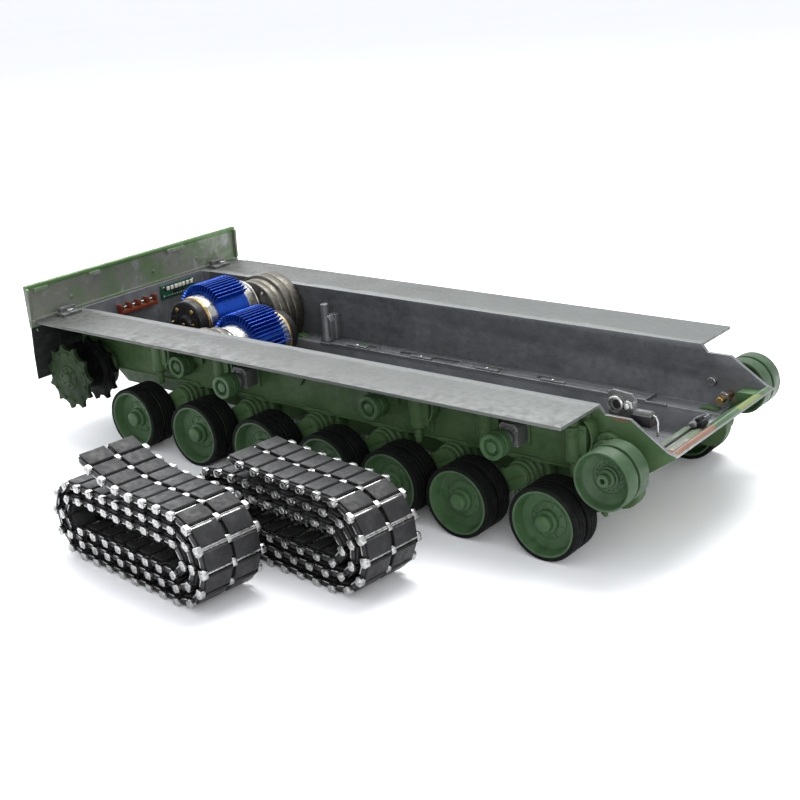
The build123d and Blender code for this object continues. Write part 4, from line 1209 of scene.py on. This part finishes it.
def build_board():
    form = Form()
    form.box(-238.4, -236.8, 15.0, 49.5, 70.0, 81.0, 0)
    form.box(-236.9, -235.9, 18.0, 46.5, 76.4, 80.2, 3)
    random.seed(4)
    for k in range(7):
        y = 19.6 + 4.1 * k
        form.box(-236.2, -234.7 - random.random() * 0.6, y, y + 2.4 + random.random(), 76.9, 79.8, 1)
    for k in range(11):
        y = 20.0 + 2.4 * k
        form.rod((-237.0, y, 72.2), (-235.2, y, 72.2), 0.75, 2, 14, 0.15)
    form.box(-236.9, -235.6, 27.0, 33.0, 73.6, 75.8, 3)
    form.box(-236.9, -235.8, 35.0, 38.0, 73.6, 75.4, 3)
    for y in (17.0, 47.5):
        for z in (72.0, 79.0):
            form.rod((-236.9, y, z), (-235.6, y, z), 1.2, 2, 18, 0.2)
    add_piece("circuit_board_parts", form.mesh("circuit_board_mesh", 0.12),
              [BOARD_GREEN, WHITE_PLASTIC, ZINC, BLACK_PLASTIC], "hull", ["circuit_board"])
    strip = Form()
    strip.box(-238.4, -233.0, -29.0, 7.0, 70.0, 72.6, 0)
    for k in range(5):
        y = -29.0 + 8.6 * k
        strip.box(-238.2, -233.2, y, y + 1.6, 72.4, 77.4, 0)
    for k in range(4):
        y = -23.9 + 8.6 * k
        strip.box(-237.6, -233.8, y - 2.4, y + 2.4, 72.5, 73.4, 1)
        strip.rod((-235.7, y, 73.2), (-235.7, y, 75.8), 2.0, 2, 20, 0.3)
        strip.box(-236.0, -235.4, y - 2.0, y + 2.0, 75.7, 76.0, 3)
    add_piece("terminal_strip_parts", strip.mesh("terminal_strip_mesh", 0.2),
              [TERMINAL_BROWN, BRASS, ZINC, BLACK_PLASTIC], "hull", ["terminal_strip"])


# ------------------------------------------------------------------ inside of the tub
def build_tub_details():
    """Slotted shaft covers with ribs, cast floor pads, wall screws, posts and stiffeners."""
    form = Form()
    low, high = box_mm("torsion_bar_cover")
    slots = [-60.0, -24.0, 0.0, 14.0, 49.0, 92.0]
    slot_half = 7.0
    floor = CHINE_Z + 2.5
    for side in SIDES.values():
        inner, outer = 44.5, WALL_IN - 0.4
        form.side_box(side, low.x, high.x, inner, 49.5, floor + 0.05, floor + 1.8, 0)
        form.side_box(side, low.x, high.x, 54.5, outer, floor + 0.05, floor + 1.8, 0)
        solid_from = low.x
        for x in slots:
            if x - slot_half > solid_from:
                form.side_box(side, solid_from, x - slot_half, 49.4, 54.6, floor + 0.05, floor + 1.8, 0)
            solid_from = max(solid_from, x + slot_half)
        form.side_box(side, solid_from, high.x, 49.4, 54.6, floor + 0.05, floor + 1.8, 0)
        for middle in WHEELS[1:6]:
            x = middle.x + ARM_LEAD
            form.side_box(side, x - 9.0, x + 9.0, 45.0, 48.6, floor + 1.6, floor + 3.2, 0)
            form.rod((x, side * 47.2, floor + 3.0), (x, side * 47.2, floor + 3.9), 1.5, 1, 18, 0.25)
        form.side_box(side, low.x - 10.0, high.x + 14.0, 44.9, 46.4, floor - 0.6, floor + 0.9, 0)
    add_piece("torsion_bar_cover_cast", form.mesh("torsion_bar_cover_cast", 0.3), [TUB_METAL, ZINC], "hull",
              ["torsion_bar_cover"])
    hardware = Form()
    for side in SIDES.values():
        y = side * 51.0
        post = [(0.0, 45.5), (4.6, 45.5), (4.2, 48.5), (3.0, 51.0), (3.0, 74.0), (2.6, 74.6), (1.2, 74.6),
                (1.2, 64.0), (0, 64.0)]
        hardware.lathe(post, (-100.0, y, 0), (0, 0, 1), 0, 32)
        hardware.side_box(side, -100.0, -93.0, 55.0, WALL_IN - 0.3, CHINE_Z + 2.55, 66.0, 0)
        gusset = [(-97.6, 47.0), (-94.0, 47.0), (-94.0, 62.0), (-97.0, 66.0)]
        hardware.extrude_side(side, gusset, 50.0, WALL_IN - 0.3, 0)
        hardware.side_box(side, -238.4, -229.2, 68.0, 84.0, DECK_Z - 0.35, DECK_Z + 1.9, 3)
        hardware.side_box(side, -238.4, -234.4, 69.5, 82.5, DECK_Z + 1.8, DECK_Z + 5.4, 3)
        nut_x, nut_y = -231.4, side * 77.0
        hardware.rod((nut_x, nut_y, DECK_Z + 1.8), (nut_x, nut_y, DECK_Z + 2.6), 3.4, 3, 28, 0.3)
        hardware.hexagon((nut_x, nut_y, DECK_Z + 2.5), (0, 0, 1), 2.9, 1.9, 1)
        # tensioner bolt with its nut and threaded brass end
        hardware.rod_side(side, 217.5, 55.0, 44.0, WALL_IN - 0.3, 2.2, 2, 28, 0.3)
        hardware.bolt(side, 217.5, 55.0, 49.0, 4.2, 4.0, 1)
        for k in range(6):
            thread = 44.4 + 0.75 * k
            hardware.tube_side(side, 217.5, 55.0, thread, thread + 0.35, 2.45, 1.8, 2, 24)
    add_piece("hull_fasteners_turned", hardware.mesh("hull_fasteners_mesh", 0.2),
              [TUB_METAL, ZINC, BRASS, BRACKET_METAL], "hull", ["hull_fasteners"])


def nose_x(z, inset=0.0):
    """x of the nose plate's outer face at a height, moved inwards by inset."""
    return 196.0 + (z - BELLY_Z) / NOSE_SLOPE - inset * math.hypot(1, NOSE_SLOPE) / NOSE_SLOPE


def build_nose_details():
    """Lip with corner gussets, the slotted lamp channel, tensioner brackets and cast blocks."""
    form = Form()
    # flat lip along the nose tip
    lip_low = 59.4
    lip = [(nose_x(lip_low, 2.4), lip_low), (nose_x(60.9, 2.4) - 2.2, 61.2), (240.6, 63.2), (243.6, 62.1)]
    form.extrude(lip, "y", -WALL_IN + 0.1, WALL_IN - 0.1, 0)
    for side in SIDES.values():
        gusset = [(nose_x(47.0, 2.3), 47.0), (nose_x(60.0, 2.3), 60.6), (226.0, 60.4), (222.6, 55.0)]
        form.extrude_side(side, gusset, 50.2, WALL_IN + 0.1, 0)
    border = [(nose_x(49.0, 2.3), 49.0), (nose_x(60.6, 2.3), 60.6), (nose_x(60.6, 3.0), 60.6),
              (nose_x(49.0, 3.0), 49.0)]
    form.extrude(border, "y", -WALL_IN + 0.1, WALL_IN - 0.1, 0)
    add_piece("nose_lip_and_gussets", form.mesh("nose_lip", 0.35), [CAMOUFLAGE], "hull")

    inner = Form()
    # lamp channel: two round sockets and a trough of two rods running to the near side
    for y, radius in ((5.0, 5.0), (-4.0, 3.2)):
        z = 57.0
        ring = [(radius - 1.4, 0.0), (radius, 0.0), (radius, 2.6), (radius - 0.3, 2.9), (radius - 1.1, 2.9),
                (radius - 1.4, 2.6)]
        inner.lathe(ring, (nose_x(z, 4.6) - 4.0, y, z), (-0.4, 0, 0.91), 0, 32, closed=True)
        inner.rod((nose_x(z, 4.6) - 4.2, y, z - 0.5),
            (nose_x(z, 4.6) - 4.6, y, z + 1.4), radius - 1.5, 1, 24)
    for offset in (-1.6, 2.8):
        start = Vector((nose_x(54.0, 3.2) - 2.0 + offset, 2.0, 55.6))
        end = Vector((nose_x(54.0, 3.2) - 2.0 + offset, -46.0, 55.6))
        inner.rod(start, end, 1.0, 1, 16, 0.2)
    trough = [(nose_x(50.0, 2.4), 50.0), (nose_x(56.6, 2.4), 56.6), (nose_x(56.6, 2.4) - 3.0, 57.4),
              (nose_x(50.0, 2.4) - 8.0, 52.6), (nose_x(50.0, 2.4) - 8.0, 50.4)]
    inner.extrude(trough, "y", -48.0, 2.0, 2)
    knob = [(0, 0), (3.4, 0), (3.4, 2.8), (2.8, 3.4), (2.8, 5.2), (2.2, 5.8), (0, 6.0)]
    inner.lathe(knob, (nose_x(58.0, 3.0) - 3.4, -3.6, 57.8), (-0.55, 0, 0.83), 1, 28)
    # raised cast blocks on the sloping floor behind the nose, with rounded corners
    for y, width, depth in ((-30.0, 13.0, 3.0), (-6.0, 9.0, 2.4), (16.0, 12.0, 2.8), (36.0, 8.0, 2.2)):
        z_low, z_high = 33.5, 46.0
        block = [(nose_x(z_low, 2.4), z_low), (nose_x(z_high, 2.4), z_high),
                 (nose_x(z_high, 2.4 + depth), z_high), (nose_x(z_low, 2.4 + depth), z_low)]
        inner.extrude(block, "y", y - width, y + width, 0)
    # tensioner cluster inside the right-hand wall: bracket plate, socket, nut, block and bent pipe
    plate = [(197.6, 66.0), (197.6, 88.2), (200.4, 89.8), (212.0, 88.8), (214.4, 85.6), (214.4, 66.0)]
    inner.extrude(plate, "y", -52.0, -50.5, 5)
    inner.box(213.0, 214.6, -54.2, -50.6, 74.0, 85.0, 5)
    socket = [(2.5, 0.0), (4.8, 0.0), (5.0, 0.4), (5.0, 2.2), (4.4, 2.8), (3.6, 2.8), (3.3, 1.0),
              (2.5, 1.0)]
    inner.lathe([(r, -a) for r, a in socket], (203.0, -51.8, 81.9), (0, 1, 0), 3, 32, closed=True)
    inner.rod((203.0, -51.6, 81.9), (203.0, -53.0, 81.9), 2.6, 1, 24, 0.3)
    inner.hexagon((210.8, -51.9, 82.3), (0, -1, 0), 3.3, 2.6, 4)
    inner.rod((210.8, -51.9, 82.3), (210.8, -56.0, 82.3), 1.7, 4, 20, 0.3)
    inner.box(214.4, 225.8, -57.2, -50.4, 73.4, 79.4, 1)
    inner.rod((214.6, -53.6, 79.0), (225.6, -53.6, 79.0), 2.9, 5, 24, 0.5)
    inner.sweep([(225.4, -53.6, 79.4), (227.2, -53.4, 78.8), (228.2, -53.4, 76.6), (228.4, -53.6, 68.0)],
                0.7, 4, 12)
    add_piece("nose_hardware", inner.mesh("nose_hardware", 0.25),
              [TUB_METAL, BLACK_PLASTIC, PLATE_METAL, ZINC, ZINC, BRACKET_METAL], "hull")


# ------------------------------------------------------------------ sprockets
def build_sprockets():
    teeth = 11
    for side_name, side in SIDES.items():
        node = f"drive_sprocket_{side_name}"
        low, high = box_mm(node)
        outer, inner = 95.6, 70.0
        form = Form()
        # outer toothed ring in the darkened green; inner ring, drum and back disc in near-black: both
        # painted shade
        for ring_inner, ring_outer, paint in ((outer - 3.0, outer, 0), (inner, inner + 3.0, 3)):
            outline = []
            step = 2 * math.pi / teeth
            for k in range(teeth):
                base = k * step
                tooth = [(0.0, 23.4), (0.03, 24.0), (0.13, 24.0), (0.16, 23.4), (0.26, 21.4), (0.34, 20.7),
                         (0.46, 20.3), (0.70, 20.3), (0.82, 20.7), (0.90, 21.4)]
                for share, radius in tooth:
                    angle = base + share * step
                    outline.append((SPROCKET.x + radius * math.cos(angle),
                                    SPROCKET.z + radius * math.sin(angle)))
            form.extrude_side(side, outline, ring_inner, ring_outer, paint)
        profile = [(0, outer + 2.6), (3.4, outer + 2.5), (4.0, outer + 2.0), (4.3, outer + 0.9),
                   (8.4, outer + 0.9), (9.0, outer + 0.4), (9.4, outer - 0.9), (11.0, outer - 1.4),
                   (15.6, outer - 1.2), (16.2, outer - 0.6), (16.6, outer + 0.3), (18.9, outer + 0.35),
                   (19.2, outer - 0.2)]
        form.lathe_side(side, profile, SPROCKET.x, SPROCKET.z, 0, 66)
        drum = [(16.4, outer - 2.8), (14.0, outer - 5.0), (13.2, outer - 7.0), (13.2, inner + 5.0),
                (16.6, inner + 2.8)]
        form.lathe_side(side, drum, SPROCKET.x, SPROCKET.z, 3, 66)
        back = [(0, inner + 0.2), (16.6, inner + 0.2), (17.0, inner + 0.1)]
        form.lathe_side(side, back, SPROCKET.x, SPROCKET.z, 3, 66)
        form.rod_side(side, SPROCKET.x, SPROCKET.z, 60.6, inner + 1.0, 4.0, 1, 28, 0.3)
        for px, pz in ring_of(teeth, 17.8, SPROCKET.x, SPROCKET.z, 0.3):
            form.bolt(side, px, pz, outer + 0.2, 1.25, 1.1, 0)
        for px, pz in ring_of(6, 12.9, SPROCKET.x, SPROCKET.z):
            form.tube_side(side, px, pz, outer - 1.7, outer - 0.6, 2.5, 1.7, 0, 20, 0.25)
            form.rod_side(side, px, pz, outer - 1.6, outer - 1.3, 1.75, 2, 16)
        for px, pz in ring_of(8, 6.3, SPROCKET.x, SPROCKET.z):
            form.bolt(side, px, pz, outer + 0.8, 0.95, 0.8, 0)
        add_piece(f"{node}_wheel", form.mesh(f"{node}_mesh", 0.2),
                  [SPROCKET_GREEN_SHADED, ZINC, BLACK_PLASTIC, SPROCKET_SHADOW_BLACK], node, [node])


# ------------------------------------------------------------------ rolled-up tracks
PITCH = 12.6
LAYER_GAP = 8.0
LINK_THICK = 5.0
LINK_WIDTH = 42.0
ROLL_TURNS = 3
ROUTE_STEP = 0.1
ROLLS = {
    "track_right": {"x": 2.0, "y": -215.0, "turned": -6.0, "length": 144.0, "height": 56.0,
                    "free_end": -39.0, "curl": 12.0},
    "track_left": {"x": 63.0, "y": -160.0, "turned": -6.0, "length": 147.0, "height": 57.0,
                   "free_end": -38.0, "curl": 3.0},
}


def arc_points(cx, cz, radius, start, end):
    count = max(2, int(abs(math.radians(end - start)) * radius / ROUTE_STEP))
    angles = [math.radians(start + (end - start) * k / count) for k in range(count)]
    return [(cx + radius * math.cos(a), cz + radius * math.sin(a)) for a in angles]


def run_points(x_start, x_end, z):
    count = max(2, int(abs(x_end - x_start) / ROUTE_STEP))
    return [(x_start + (x_end - x_start) * k / count, z) for k in range(count)]


def roll_pins(roll):
    """Hinge pins of a rolled track, from its free end on top inwards."""
    base = LINK_THICK / 2
    tall = roll["height"] - LINK_THICK
    right = roll["length"] / 2 - base - tall / 2
    left = -roll["length"] / 2 + base + (tall - LAYER_GAP) / 2
    route = []
    for turn in range(ROLL_TURNS):
        top, bottom = base + tall - turn * LAYER_GAP, base + turn * LAYER_GAP
        radius = tall / 2 - turn * LAYER_GAP
        if turn == 0:
            start = roll["free_end"]
            reach = right - start
            for x, z in run_points(start, right, top):
                lift = roll["curl"] * max(0.0, 1 - (x - start) / (0.62 * reach)) ** 2
                route.append((x, z + lift))
        else:
            route += run_points(left, right, top)
        route += arc_points(right, base + tall / 2, radius, 90, -90)
        route += run_points(right, left, bottom)
        if turn < ROLL_TURNS - 1:
            route += arc_points(left, base + (tall - LAYER_GAP) / 2, radius - LAYER_GAP / 2, 270, 90)
    pins = [route[0]]
    for point in route:
        if math.dist(point, pins[-1]) >= PITCH:
            pins.append(point)
    return pins


def link_mesh():
    """One shoe lying along x, outer face up: dark body, rubber pads, bright tubes and connectors."""
    form = Form()
    half = LINK_WIDTH / 2
    thick = LINK_THICK / 2
    hinge = PITCH / 2
    nickel, rubber, dark = 0, 1, 2
    for y_low, y_high in ((-half + 3.3, -1.6), (1.6, half - 3.3)):
        form.box(-4.9, 4.9, y_low + 0.4, y_high - 0.4, -1.7, 1.1, dark)
        pad = [(-5.2, 0.9), (5.2, 0.9), (5.5, 1.6), (4.9, thick), (-4.9, thick), (-5.5, 1.6)]
        form.extrude(pad, "y", y_low, y_high, rubber)
        form.box(-3.6, 3.6, y_low + 1.8, y_high - 1.8, -thick, -1.5, rubber)
        # hinge tubes beside the pads
        for x in (-5.5, 5.5):
            form.rod((x, y_low - 0.6, -0.4), (x, y_high + 0.6, -0.4), 1.0, nickel, 12, 0.15)
    for side in (-1, 1):
        # end connector over the leading hinge: a lumpy block with a pin head
        y_low, y_high = sorted((side * (half - 3.2), side * (half - 0.35)))
        block = [(hinge - 2.7, -1.2), (hinge - 1.9, -2.1), (hinge + 1.9, -2.1), (hinge + 2.7, -1.2),
                 (hinge + 2.7, 1.3), (hinge + 1.7, 2.3), (hinge - 1.7, 2.3), (hinge - 2.7, 1.3)]
        form.extrude(block, "y", y_low, y_high, nickel)
        form.rod_side(side, hinge, 0, half - 0.6, half, 1.35, nickel, 14, 0.25)
        form.rod_side(side, hinge + 2.3, -0.4, half - 2.9, half - 0.8, 0.9, nickel, 12, 0.2)
        # dark web between the connectors, with a bright lower rib
        y_low, y_high = sorted((side * (half - 3.6), side * (half - 2.2)))
        form.box(-3.4, 3.4, y_low, y_high, -1.5, 1.3, dark)
        y_low, y_high = sorted((side * (half - 3.0), side * (half - 2.0)))
        form.box(-2.6, 2.8, y_low, y_high, -1.9, -1.3, nickel)
    # middle connector, and the guide horn on the inner side
    bridge = [(hinge - 2.6, -1.0), (hinge - 1.8, -1.9), (hinge + 1.8, -1.9), (hinge + 2.6, -1.0),
              (hinge + 2.4, 1.4), (hinge + 1.4, 2.2), (hinge - 1.4, 2.2), (hinge - 2.4, 1.4)]
    form.extrude(bridge, "y", -1.5, 1.5, nickel)
    horn = [(-2.4, -1.4), (2.4, -1.4), (1.5, -4.3), (-0.9, -4.3)]
    form.extrude(horn, "y", -1.0, 1.0, nickel)
    form.box(-3.2, 3.2, -1.2, 1.2, -1.4, 0.9, dark)
    return form.mesh("track_link", 0.22, 30.0, local=True)


def joined(meshes_and_places, name):
    """One mesh from copies of meshes at places."""
    bm = bmesh.new()
    for source, place in meshes_and_places:
        part = source.copy()
        part.transform(place)
        bm.from_mesh(part)
        bpy.data.meshes.remove(part)
    mesh = bpy.data.meshes.new(name)
    bm.to_mesh(mesh)
    bm.free()
    mesh.shade_smooth()
    mesh.set_sharp_from_angle(angle=math.radians(30))
    return mesh


def build_tracks():
    shoe = link_mesh()
    for node, roll in ROLLS.items():
        pins = roll_pins(roll)
        spot = Vector((roll["x"], roll["y"], 0)) * MM + Vector((0, HULL_Y, 0))
        place = Matrix.Translation(spot) @ Matrix.Rotation(math.radians(roll["turned"]), 4, "Z")
        random.seed(11)
        parts = []
        for (xa, za), (xb, zb) in zip(pins, pins[1:]):
            middle = Vector(((xa + xb) / 2, 0, (za + zb) / 2)) * MM
            tilt = math.atan2(zb - za, xb - xa)
            slip = random.uniform(-0.25, 0.25) * MM
            own = (Matrix.Translation(middle + Vector((0, slip, 0)))
                   @ Matrix.Rotation(-tilt, 4, "Y"))
            parts.append((shoe, place @ own))
        mesh = joined(parts, f"{node}_links")
        add_piece(f"{node}_links", mesh, [NICKEL, PAD_RUBBER, DARK_LINK], node, [node])


# ------------------------------------------------------------------ build everything
build_hull()
build_side_details()
build_bump_stops()
build_roller_brackets()
build_rear()
build_motors()
build_heat_sinks()
build_gearboxes()
build_board()
build_tub_details()
build_nose_details()
build_wheels()
build_idlers()
build_rollers()
build_arms()
build_cranks()
build_sprockets()
build_tracks()
